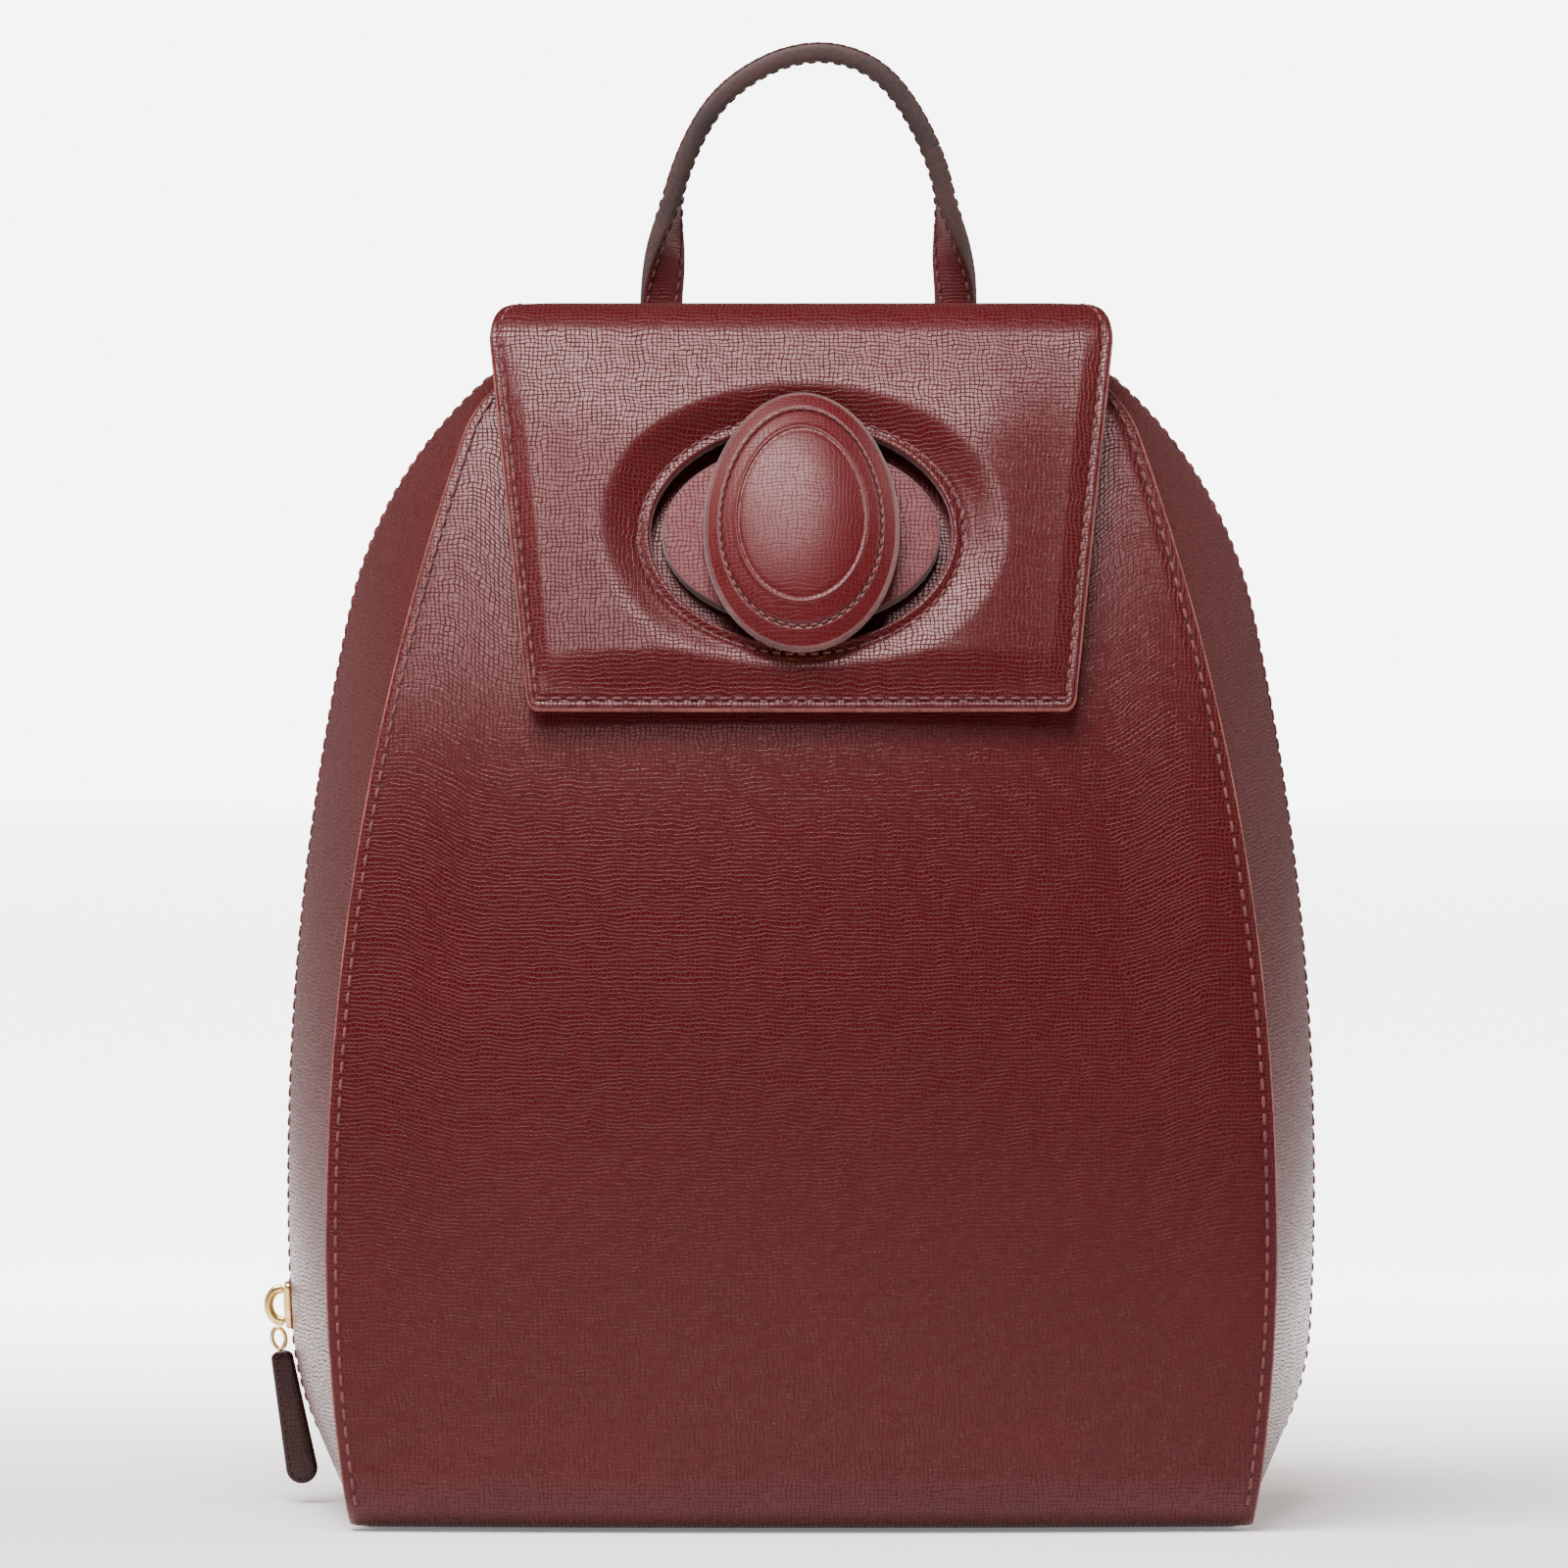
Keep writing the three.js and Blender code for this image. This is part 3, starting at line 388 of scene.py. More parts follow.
class Recipe:
    """A new material, with short ways to add its nodes. Inputs take values or other nodes' outputs."""

    def __init__(self, name):
        self.material = bpy.data.materials.new(name)
        self.material.use_nodes = True
        self.tree = self.material.node_tree
        self.tree.nodes.clear()

    def fill(self, socket, value):
        if isinstance(value, bpy.types.NodeSocket):
            self.tree.links.new(value, socket)
        else:
            socket.default_value = value

    def node(self, kind, settings=None, **inputs):
        made = self.tree.nodes.new("ShaderNode" + kind)
        for key, value in (settings or {}).items():
            setattr(made, key, value)
        for key, value in inputs.items():
            self.fill(made.inputs[key.replace("_", " ")], value)
        return made

    def grain(self):
        """The mesh's own grain coordinates, in millimetres along and across the piece."""
        return self.node("Attribute", {"attribute_name": "grain"}).outputs["Vector"]

    def maths(self, operation, a, b=0.0):
        made = self.node("Math", {"operation": operation})
        self.fill(made.inputs[0], a)
        self.fill(made.inputs[1], b)
        return made.outputs[0]

    def plus(self, a, b):
        return self.maths("ADD", a, b)

    def times(self, a, b):
        return self.maths("MULTIPLY", a, b)

    def average(self, a, b):
        return self.times(self.plus(a, b), 0.5)

    def mixed(self, factor, a, b):
        """A colour between a and b."""
        return self.node("MixRGB", Fac=factor, Color1=a, Color2=b).outputs[0]

    def spread(self, value, low, high):
        """A value moved so that low becomes 0 and high becomes 1, and kept between them."""
        ease = {"interpolation_type": "SMOOTHSTEP"}
        return self.node("MapRange", ease, Value=value, From_Min=low, From_Max=high).outputs[0]

    def noise(self, place, stretch, detail=2.0, roughness=0.5, distortion=0.0):
        """Noise with so many features per unit of each coordinate; one number stands for all three."""
        scale = stretch if isinstance(stretch, tuple) else (stretch,) * 3
        at = self.node("Mapping", Vector=place, Scale=scale).outputs[0]
        return self.node(
            "TexNoise", Vector=at, Scale=1.0, Detail=detail, Roughness=roughness, Distortion=distortion,
        ).outputs[0]

    def bump(self, height, depth, strength=0.8):
        """Normals for a relief of a depth in millimetres."""
        return self.node("Bump", Strength=strength, Distance=depth * MM, Height=height).outputs[0]

    def finish(self, **inputs):
        shader = self.node("BsdfPrincipled", **inputs)
        self.node("OutputMaterial", Surface=shader.outputs[0])
        return self.material


def rgb(r, g, b):
    return (r, g, b, 1.0)


GRAIN_PITCH = 1.05                      # between two pressed lines, in millimetres
GRAIN_WAVER = 2.6                       # how many lines' width the lines wander
STREAK = (1.5, 0.30)                    # features per millimetre across and along the breaks in the lines
STREAK_TURBULENCE = (1.5, 0.6, 0.25)    # their noise's detail, roughness and distortion


def pressed_lines(m, place, axis, pitch, breaks):
    """Fine parallel grooves along one grain axis, wavering and broken: 0 in one and 1 between two."""
    along = m.node("SeparateXYZ", Vector=place).outputs[axis]
    waver = m.times(m.noise(place, 0.16), GRAIN_WAVER)
    turns = m.plus(m.times(along, math.pi / pitch), m.times(waver, math.pi))
    ridge = m.maths("ABSOLUTE", m.maths("SINE", turns))
    filled = m.times(m.spread(breaks, 0.42, 0.62), 0.50)
    return m.maths("MINIMUM", m.plus(m.spread(ridge, 0.08, 0.60), filled), 1.0)


def leather(name, base, groove_shade, pale, roughness=0.27, sheen=0.35, depth=0.085, grain_size=1.0):
    """Leather pressed with a fine cross grain, duller in its grooves and darker there as painted shade."""
    m = Recipe(name)
    place = m.grain()
    fine, long = (share / grain_size for share in STREAK)
    pitch = GRAIN_PITCH * grain_size
    across = pressed_lines(m, place, 1, pitch, m.noise(place, (long, fine, fine), *STREAK_TURBULENCE))
    upward = pressed_lines(m, place, 0, pitch, m.noise(place, (fine, long, fine), *STREAK_TURBULENCE))
    lines = m.maths("MINIMUM", across, upward)
    height = m.plus(m.times(lines, 0.8), m.times(m.noise(place, 1.9), 0.35))
    # the grooves take the darker colour: painted shade in the grain's hollows
    colour = m.mixed(m.spread(lines, 0.0, 0.75), groove_shade, base)
    worn = m.times(m.spread(m.noise(place, (0.02, 0.026, 0.02), 3.0), 0.46, 0.72), 0.30)
    dull = m.times(m.spread(lines, 0.9, 0.1), 6.5 * depth)
    patchy = m.times(m.noise(place, 0.3), 0.14)
    return m.finish(
        Base_Color=m.mixed(worn, colour, pale),
        Roughness=m.plus(roughness - 0.07, m.plus(patchy, dull)),
        Normal=m.bump(height, depth, 0.9),
        IOR=1.42,
        Specular_Tint=rgb(1.0, 0.74, 0.73),
        Sheen_Weight=sheen,
        Sheen_Roughness=0.5,
        Sheen_Tint=rgb(0.9, 0.62, 0.60),
        Coat_Roughness=0.3,
    )


def mottled(name, dark, light, roughness=0.8, depth=0.08, size=0.8, sheen=0.0):
    """Edge paint, suede, board or painted hole shade: an even surface with a fine, soft mottle."""
    m = Recipe(name)
    place = m.grain()
    speck = m.noise(place, size, 4.0, 0.65)
    mottle = m.spread(m.average(speck, m.noise(place, 0.07)), 0.38, 0.62)
    return m.finish(
        Base_Color=m.mixed(mottle, dark, light),
        Roughness=roughness,
        Normal=m.bump(speck, depth),
        Sheen_Weight=sheen,
    )


def woven(name, dark, light, pitch=0.8, roughness=0.85):
    """Plain woven cloth, drawn from the grain coordinates."""
    m = Recipe(name)
    place = m.grain()
    axes = m.node("SeparateXYZ", Vector=place)
    warp, weft = (m.maths("SINE", m.times(axes.outputs[i], 2 * math.pi / pitch)) for i in (0, 1))
    weave = m.plus(m.times(m.times(warp, weft), 0.5), 0.5)
    shade = m.average(weave, m.noise(place, (0.9, 0.2, 0.4), 3.0))
    return m.finish(
        Base_Color=m.mixed(m.spread(shade, 0.2, 0.8), dark, light),
        Roughness=roughness,
        Normal=m.bump(shade, 0.15),
        Sheen_Weight=0.15,
    )


def brushed_metal(name, colour, dull, roughness=0.2):
    """Plated metal with faint scratches and duller patches, drawn from its place in metres."""
    m = Recipe(name)
    place = m.node("TexCoord").outputs["Object"]
    scratch = m.noise(place, (300, 2600, 900), 3.0)
    patch = m.spread(m.noise(place, 160, 3.0), 0.45, 0.68)
    return m.finish(
        Base_Color=m.mixed(m.times(patch, 0.5), colour, dull),
        Metallic=1.0,
        Roughness=m.plus(roughness, m.times(m.plus(patch, scratch), 0.09)),
        Normal=m.bump(scratch, 0.03, 0.35),
    )


def twisted_thread(name, dark, light):
    m = Recipe(name)
    place = m.grain()
    fibre = m.noise(place, 4.0, 3.0)
    return m.finish(
        Base_Color=m.mixed(m.spread(m.average(fibre, m.noise(place, 0.12, 1.0)), 0.35, 0.65), dark, light),
        Roughness=0.7,
        Normal=m.bump(fibre, 0.08),
        Sheen_Weight=0.1,
    )


# Each leather's second colour is painted shade for the grooves of its grain.
body_leather = leather(
    "burgundy_leather", rgb(0.050, 0.0004, 0.0016), rgb(0.032, 0.0002, 0.0009), rgb(0.064, 0.0015, 0.0030),
    sheen=0.05)
knob_leather = leather(
    "knob_leather", rgb(0.062, 0.0010, 0.0026), rgb(0.050, 0.0006, 0.0020), rgb(0.080, 0.003, 0.005),
    roughness=0.34, depth=0.035, sheen=0.05)
plate_leather = leather(
    "plate_leather", rgb(0.085, 0.010, 0.013), rgb(0.060, 0.006, 0.009), rgb(0.110, 0.025, 0.027),
    roughness=0.45, depth=0.06, sheen=0.1)
strap_leather = leather(
    "dark_strap_leather", rgb(0.060, 0.004, 0.006), rgb(0.036, 0.002, 0.004), rgb(0.110, 0.020, 0.018),
    roughness=0.36, depth=0.08, sheen=0.05, grain_size=0.8)
glossy_leather = leather(
    "glossy_pull_leather", rgb(0.012, 0.002, 0.002), rgb(0.008, 0.001, 0.001), rgb(0.024, 0.004, 0.004),
    roughness=0.24, depth=0.012, sheen=0.0)
soft_leather = leather(
    "soft_fold_leather", rgb(0.050, 0.002, 0.003), rgb(0.035, 0.001, 0.002), rgb(0.070, 0.006, 0.008),
    roughness=0.5, depth=0.08)
edge_paint = mottled("painted_edge", rgb(0.10, 0.018, 0.016), rgb(0.24, 0.070, 0.055), 0.6, 0.06)
dark_edge = mottled("dark_painted_edge", rgb(0.014, 0.004, 0.004), rgb(0.040, 0.013, 0.011), 0.68)
suede = mottled("suede_back", rgb(0.055, 0.014, 0.014), rgb(0.110, 0.034, 0.032), 0.95, 0.12, 1.4, 0.3)
board_grey = mottled("stiffening_board", rgb(0.20, 0.17, 0.15), rgb(0.32, 0.29, 0.25), 0.9, 0.1)
# painted shade that stands for the stitch and strap holes
hole_shade = mottled("painted_hole_shade", rgb(0.010, 0.002, 0.002), rgb(0.020, 0.004, 0.004), 0.9)
lining_cloth = woven("lining_cloth", rgb(0.020, 0.004, 0.005), rgb(0.070, 0.016, 0.018))
tape_cloth = woven("zip_tape_cloth", rgb(0.016, 0.004, 0.005), rgb(0.050, 0.013, 0.014), pitch=0.6)
brass = brushed_metal("polished_brass", rgb(0.86, 0.60, 0.24), rgb(0.62, 0.42, 0.17))
thread = twisted_thread("seam_thread", rgb(0.070, 0.006, 0.007), rgb(0.14, 0.020, 0.018))
dark_thread = twisted_thread("dark_thread", rgb(0.030, 0.004, 0.005), rgb(0.070, 0.012, 0.012))

# Outer face, inner face and cut edge of each sheet or plate.
LEATHER_SET = [body_leather, suede, edge_paint]
BOARD_SET = [board_grey] * 3
CLOTH_SET = [lining_cloth] * 3
TAPE_SET = [tape_cloth] * 3
BRASS_SET = [brass] * 3


# ---------------------------------------------------------------- plates and closed shells

def rounded_rectangle(half_x, half_z, radius, count=10):
    corners = ((1, 1, 0), (-1, 1, 90), (-1, -1, 180), (1, -1, 270))
    runs = [arc_points((sx * (half_x - radius), sz * (half_z - radius)), radius, a, a + 90, count)
            for sx, sz, a in corners]
    rim = np.concatenate(runs)
    return rim[np.linalg.norm(np.roll(rim, -1, axis=0) - rim, axis=1) > 1e-4]


def oval(half_x, half_z, count=96, egg=0.0):
    a = np.linspace(0, 2 * np.pi, count, endpoint=False)
    y = half_z * np.sin(a)
    return np.stack([half_x * np.cos(a) * (1 - egg * np.sin(a)), y], axis=1)


def plate(name, rim, place, low, high, materials, edge=0.5, crown=None, rings=16):
    """A plate drawn in two dimensions and placed by a function of x, y and height, with rounded edges.

    crown gives the extra height of its top face at a share of the way out from the middle.
    """
    ahead = unit(np.roll(rim, -1, axis=0) - np.roll(rim, 1, axis=0))
    out = np.stack([ahead[:, 1], -ahead[:, 0]], axis=1)
    middle = rim.mean(axis=0)
    layers = []
    for k in np.linspace(0.02, 1, rings):
        extra = crown(k) if crown else 0.0
        layers.append((middle + (rim - out * edge - middle) * k, high + extra, 0))
    for turn in (22.5, 45, 67.5, 90):
        a = math.radians(turn)
        layers.append((rim - out * edge * (1 - math.sin(a)), high - edge * (1 - math.cos(a)), 1))
    for turn in (90, 45, 0):
        a = math.radians(turn)
        layers.append((rim - out * edge * (1 - math.sin(a)), low + edge * (1 - math.cos(a)), 1))
    layers.append((middle + (rim - middle) * 0.02, low, 2))
    n = len(rim)
    verts = np.concatenate([place(xy[:, 0], xy[:, 1], np.full(n, float(h))) for xy, h, _ in layers])
    grain = np.concatenate([np.column_stack([xy, np.full(n, h)]) for xy, h, _ in layers])
    first, last = end_faces(len(layers), n)
    faces = [first] + ring_faces(len(layers), n) + [last]
    slots = [0] + [slot for _, _, slot in layers[1:] for _ in range(n)] + [2]
    return outward_faces(mesh_object(name, verts, faces, materials, slots, grain))


def slight_crown(k):
    return 0.2 * (1 - k ** 2)


def upright(y_face):
    """Places a plate on an upright plane, facing the back."""
    def place(x, z, height):
        return np.stack([x, y_face + height, z], axis=-1)
    return place


def on_back(middle_x, middle_z):
    """Places a plate that is sewn to the back panel."""
    def place(x, z, height):
        return np.stack([x + middle_x, BACK_FACE + GAP + height, z + middle_z], axis=-1)
    return place


def flat_on(z_face):
    def place(x, y, height):
        return np.stack([x, y, z_face + height], axis=-1)
    return place


# ---------------------------------------------------------------- front shell

GAP = 0.3
BOARD = 1.4
POCKET_FLOOR = 14.0
POCKET_DEPTH = 13.0
LINING = 0.8                            # thickness of the lining cloth


def front_layer(low, high, margin, depth_at, columns=70, rows=100, corner_rise=0.0):
    """A grid of points of one layer of the front, which ends a margin beyond the seam.

    corner_rise lifts its two top corners.
    """
    across = np.linspace(-1, 1, columns)[:, None]
    top = profile.share_at(high + corner_rise * smooth(np.abs(across), 0.70, 0.92))
    low_share = profile.share_at(low)
    t = low_share + (top - low_share) * np.linspace(0, 1, rows)
    z = profile.at(t)[0][..., 1]
    x = across * (half_width(z) + margin)
    return front_point(x, t, depth_at(across, z))


def pocket_wall_depth(across, z):
    rise = smooth(z, POCKET_FLOOR, 50)
    fall = 1 - smooth(z, 238, 266)
    return LEATHER + BOARD + 4 * GAP + POCKET_DEPTH * rise * fall * (1 - across ** 2)


def lining_depth(across, z):
    return pocket_wall_depth(across, z) + LEATHER + 5 * GAP


def along_front(side, low, high, inset, count=500):
    """Points and normals along the front panel's side edge, inset from its cut edge."""
    t = np.linspace(profile.share_at(low), profile.share_at(high), count)
    z = profile.at(t)[0][:, 1]
    x = side * (half_width(z) + 2 - inset)
    p = front_point(x, t)
    ahead = unit(np.gradient(p, axis=0))
    inward = front_point(x - side, t) - p
    return p, unit(np.cross(ahead, inward)) * np.sign(side)


def build_front():
    panel = front_layer(0.0, MOUTH_HEIGHT, 2.0, lambda a, z: 0.0, 150, 230, 11.0)
    z = panel[..., 2]
    edge = half_width(np.clip(z, 0, FRONT_TOP - 0.1)) + 2 - np.abs(panel[..., 0])
    groove = -0.45 * np.exp(-((edge - 2.1) / 0.8) ** 2)
    turned = -0.5 * np.exp(-edge / 0.5)
    up = np.linspace(0, 1, panel.shape[1]) * profile.length
    grain = np.stack([panel[..., 0], np.broadcast_to(up, z.shape), 0 * z], axis=-1)
    front = sheet("Front_Panel", panel, LEATHER_SET, edge_round=0.45, grain=grain, relief=groove + turned)
    fitted(front, "front_shell", "outer_leather", "front_panel")
    for side, label in ((-1, "Left"), (1, "Right")):
        p, n = along_front(side, 5.0, MOUTH_HEIGHT + 9, 2.1)
        seam_row = stitches(f"Front_Seam_Stitches_{label}", p - n * 0.28, n, pitch=4.0, radius=0.36)
        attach(seam_row, "front_shell")
    t = profile.share_at(MOUTH_HEIGHT - 2.4)
    x = np.linspace(-0.68, 0.68, 200) * half_width(MOUTH_HEIGHT)
    top = front_point(x, np.full(len(x), t))
    normal = np.broadcast_to([0, -0.85, 0.52], top.shape)
    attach(stitches("Mouth_Stitches", top, normal, pitch=4.0), "front_shell")

    board_layer = front_layer(POCKET_FLOOR, MOUTH_HEIGHT - 3, -6, lambda a, z: LEATHER + 2 * GAP)
    board = sheet("Front_Board", board_layer, BOARD_SET, BOARD)
    fitted(board, "front_shell", "board", "front_board")
    wall_layer = front_layer(POCKET_FLOOR, FRONT_TOP - 1.5, -3, pocket_wall_depth)
    wall = sheet("Pocket_Wall", wall_layer, LEATHER_SET)
    fitted(wall, "front_shell", "outer_leather", "pocket_wall")
    lining_layer = front_layer(POCKET_FLOOR, FRONT_TOP - 1.5, -3, lining_depth)
    lining = sheet("Front_Lining", lining_layer, CLOTH_SET, LINING)
    fitted(lining, "front_shell", "lining_cloth", "front_lining")


# ---------------------------------------------------------------- gussets

SIDE_END = 1 - outline.share_at(GUSSET_FOOT)
ZIP_FOOT = 17.0
ZIP_RANGE = 1 - outline.share_at(ZIP_FOOT)


def edge_front(s):
    """The gusset's front edge, tucked behind the front panel's rim."""
    x, z, nx, nz = on_arch(seam, s)
    t = profile.share_at(np.minimum(z, FRONT_TOP - 0.01))
    behind = front_point(x, t, LEATHER + 3 * GAP)
    p = np.stack([x + nx, behind[..., 1], np.maximum(behind[..., 2], GUSSET_FOOT)], axis=-1)
    return p, np.stack([nx, 0 * nx, nz], axis=-1)


def edge_at(line, y):
    def edge(s):
        x, z, nx, nz = on_arch(line, s)
        return np.stack([x, y + 0 * x, z], axis=-1), np.stack([nx, 0 * nx, nz], axis=-1)
    return edge


def gusset_points(edge_a, edge_b, bulge, s, v, out=0.0):
    """Points and normals at shares s along and v across a gusset."""
    (a, na), (b, nb) = edge_a(s), edge_b(s)
    s, v = np.broadcast_arrays(s, v)
    v = v[..., None]
    normal = na * (1 - v) + nb * v
    return a * (1 - v) + b * v + (4 * bulge * v * (1 - v) + out) * normal, normal


front_gusset = (edge_front, edge_at(outline, ZIP_CENTRE - ZIP_OPEN_HALF), 1.5)
rear_gusset = (
    edge_at(outline, ZIP_CENTRE + ZIP_OPEN_HALF), edge_at(back_outline, BACK_FACE - LEATHER - GAP), 0.8,
)


def build_gusset(label, strip, nodes, body, zip_side):
    count = 420
    s = np.linspace(-SIDE_END, SIDE_END, count)
    v = np.linspace(0, 1, 26)
    grid = np.stack([gusset_points(*strip, s, np.full(count, w))[0] for w in v], axis=1)
    width = np.linalg.norm(grid[:, -1] - grid[:, 0], axis=1)[:, None]
    from_zip = (1 - v if zip_side > 0 else v) * width
    groove = -0.35 * np.exp(-((from_zip - 2.6) / 0.8) ** 2)
    turned = -0.45 * np.exp(-from_zip / 0.6)
    travel = np.concatenate([[0], np.cumsum(np.linalg.norm(np.diff(grid[:, -1], axis=0), axis=1))])
    along = np.broadcast_to(travel[:, None], from_zip.shape)
    grain = np.stack([v * width + 300, along, 0 * from_zip], axis=-1)
    piece = sheet(f"{label}_Gusset", grid, LEATHER_SET, edge_round=0.35, grain=grain, relief=groove + turned)
    fitted(piece, body, "outer_leather", *nodes)
    s = np.linspace(-ZIP_RANGE, ZIP_RANGE, 900)
    share = np.interp(s, np.linspace(-SIDE_END, SIDE_END, count), 2.6 / width[:, 0])
    p, n = gusset_points(*strip, s, (1 - share) if zip_side > 0 else share)
    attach(stitches(f"{label}_Zip_Stitches", p - n * 0.2, n, pitch=3.4, radius=0.30), body)


def build_gussets():
    build_gusset("Front", front_gusset, [f"front_gusset_{side}" for side in ("left", "top", "right")],
                 "front_shell", 1)
    build_gusset("Rear", rear_gusset, [f"rear_gusset_{side}" for side in ("left", "top", "right")],
                 "bag_back", -1)


# ---------------------------------------------------------------- wrap-round zip

TOOTH_TOP = -1.2
TOOTH_LOW = -3.6
TOOTH_PITCH = 2.4
FOOT_HALF = 7.5                         # half width and depth of the patch inside each end of the zip
FOOT_DEPTH = 5.0


def zip_frames(s):
    x, z, nx, nz = on_arch(outline, s)
    ahead = np.stack([nz, 0 * nx, -nx], axis=-1)
    out = np.stack([nx, 0 * nx, nz], axis=-1)
    return np.stack([x, ZIP_CENTRE + 0 * x, z], axis=-1), ahead, out


def tooth_shape():
    """One tooth: a rounded bar that reaches from its tape to just past the zip's middle line."""
    half, reach_in, reach_out = 0.62, -0.15, 2.6
    rim = [(-half, reach_out), (-half, 1.2), (-half * 0.55, 0.9), (-half * 0.55, 0.35), (-half * 0.8, 0.1),
           (-half * 0.4, reach_in), (half * 0.4, reach_in), (half * 0.8, 0.1), (half * 0.55, 0.35),
           (half * 0.55, 0.9), (half, 1.2), (half, reach_out)]
    levels = ((TOOTH_LOW, 0.86), (TOOTH_LOW + 0.3, 1.0), (TOOTH_TOP - 0.3, 1.0), (TOOTH_TOP, 0.82))
    n = len(rim)
    verts = [(x * k, 1.3 + (y - 1.3) * k, h) for h, k in levels for x, y in rim]
    ends = [face[::-1] for face in end_faces(len(levels), n)]
    return np.array(verts), ring_faces(len(levels), n) + ends


def build_zip_side(label, side, body):
    line = outline.length * 2 * ZIP_RANGE
    count = int(line / TOOTH_PITCH)
    offset = 0.25 if side > 0 else -0.25
    s = -ZIP_RANGE + 2 * ZIP_RANGE * (np.arange(count) + 0.5 + offset) / count
    at, ahead, out = zip_frames(s)
    local, faces = tooth_shape()
    across = np.broadcast_to([0.0, float(side), 0.0], at.shape)
    basis = np.stack([ahead, across, out], axis=1)
    faces = faces if side > 0 else [face[::-1] for face in faces]
    verts, every = repeated(local, faces, at, basis)
    teeth = mesh_object(f"Zip_Teeth_{label}", verts, every, [brass], shade=False)
    fitted(teeth, body, "gold_metal", f"zip_teeth_{label.lower()}")

    s = np.linspace(-ZIP_RANGE, ZIP_RANGE, 400)
    at, ahead, out = zip_frames(s)
    tape_top = -LEATHER - 3 * GAP
    rows = [at + out * tape_top + np.array([0, side * y, 0]) for y in np.linspace(6.5, 2.9, 6)]
    if side < 0:
        rows = rows[::-1]
    grid = np.stack(rows, axis=1)
    # rows run towards +y on both sides, so the outer face points away from the bag
    grid = grid[:, ::-1] if grid[0, 0, 1] > grid[0, -1, 1] else grid
    tape = sheet(f"Zip_Tape_{label}", grid, TAPE_SET, 0.7, 0.1)
    fitted(tape, body, "zip_tape", f"zip_tape_{label.lower()}")


def build_zip_foot(label, side):
    """A leather patch inside each end of the zip, which closes the notch under its stop."""
    s = side * np.linspace(SIDE_END - 0.002, ZIP_RANGE - 0.012, 24)
    at, _, out = zip_frames(s)
    widths = np.linspace(-FOOT_HALF, FOOT_HALF, 12) * side
    rows = [at - FOOT_DEPTH * out + np.array([0, y, 0]) for y in widths]
    patch = sheet(f"Zip_Foot_{label}", np.stack(rows, axis=1), LEATHER_SET, 0.9, 0.1)
    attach(patch, "bag_back")


def build_zip():
    build_zip_side("Front", -1, "front_shell")
    build_zip_side("Rear", 1, "bag_back")
    build_zip_foot("Left", -1)
    build_zip_foot("Right", 1)
    for label, side in (("Left", -1), ("Right", 1)):
        at, ahead, out = zip_frames(np.array([side * (ZIP_RANGE + 0.006)]))
        depth = (TOOTH_TOP + TOOTH_LOW) / 2

        def place(x, y, h, at=at, ahead=ahead, out=out):
            return (at + out * depth + h[:, None] * out + x[:, None] * ahead
                    + y[:, None] * np.array([0.0, 1.0, 0.0]))
        rim = rounded_rectangle(1.0, 2.6, 0.5, 5)
        stop = plate(f"Zip_Stop_{label}", rim, place, -1.2, 1.2, BRASS_SET, 0.3)
        fitted(stop, "bag_back", "gold_metal", f"zip_stop_{label.lower()}")


# ---------------------------------------------------------------- back and base

def arch_rim(inset, low, count=110):
    """The closed outline of a panel: up one side, over the crown and down the other."""
    line = half_arch(OUTLINE, inset)
    share = line.share_at(low)
    crown = line.share_at(line.points[:, 1].max() - 1e-6)
    t = np.linspace(share, min(crown, 1.0), count)
    half = line.at(t)[0]
    rim = np.concatenate([half, (half * [-1, 1])[::-1]])
    base = np.linspace(-1, 1, 40)[1:-1, None] * [half[0, 0], 0] + [0, half[0, 1]]
    return np.concatenate([rim, base])


def build_back():
    board_face = BACK_FACE - LEATHER - GAP
    lining_face = board_face - BOARD - GAP
    panel_rim = arch_rim(BACK_INSET, 0.05)
    for name, rim, face, depth, materials, finish, edge in (
        ("Back_Panel", panel_rim, BACK_FACE, LEATHER, LEATHER_SET, "outer_leather", 0.7),
        ("Back_Board", arch_rim(7, GUSSET_FOOT), board_face, BOARD, BOARD_SET, "board", 0.2),
        ("Back_Lining", arch_rim(7, 5), lining_face, LINING, CLOTH_SET, "lining_cloth", 0.2),
    ):
        node = name.lower()
        piece = plate(name, rim, upright(face), -depth, 0.0, materials, edge, rings=40)
        fitted(piece, "bag_back", finish, node)
    line = arch_rim(BACK_INSET + 2.6, 2.6)[:220]
    points = np.stack([line[:, 0], np.full(len(line), BACK_FACE), line[:, 1]], axis=1)
    normals = np.broadcast_to([0.0, 1.0, 0.0], points.shape)
    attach(stitches("Back_Seam_Stitches", points, normals, pitch=4.0), "bag_back")
    build_inner_pocket(lining_face - LINING - GAP)


def build_inner_pocket(face):
    """A cloth pocket with a bound mouth, open at the top and sewn to the back lining."""
    half, low, high, depth, wall = 74.0, 60.0, 158.0, 8.0, 1.2
    turn = 3
    section = joined(
        np.array([[-half, face], [-half, face - depth + turn]]),
        arc_points((-half + turn, face - depth + turn), turn, 180, 270, 12),
        arc_points((half - turn, face - depth + turn), turn, 270, 360, 12),
        np.array([[half, face - depth + turn], [half, face]]),
    )
    across = section.at(np.linspace(0, 1, 61))[0][:, None]
    z = np.linspace(low, high, 41)
    grid = np.stack(np.broadcast_arrays(across[..., 0], across[..., 1], z), axis=-1)
    piece = sheet("Inner_Pocket", grid, CLOTH_SET, wall, 0.2)
    fitted(piece, "bag_back", "lining_cloth", "inner_pocket")


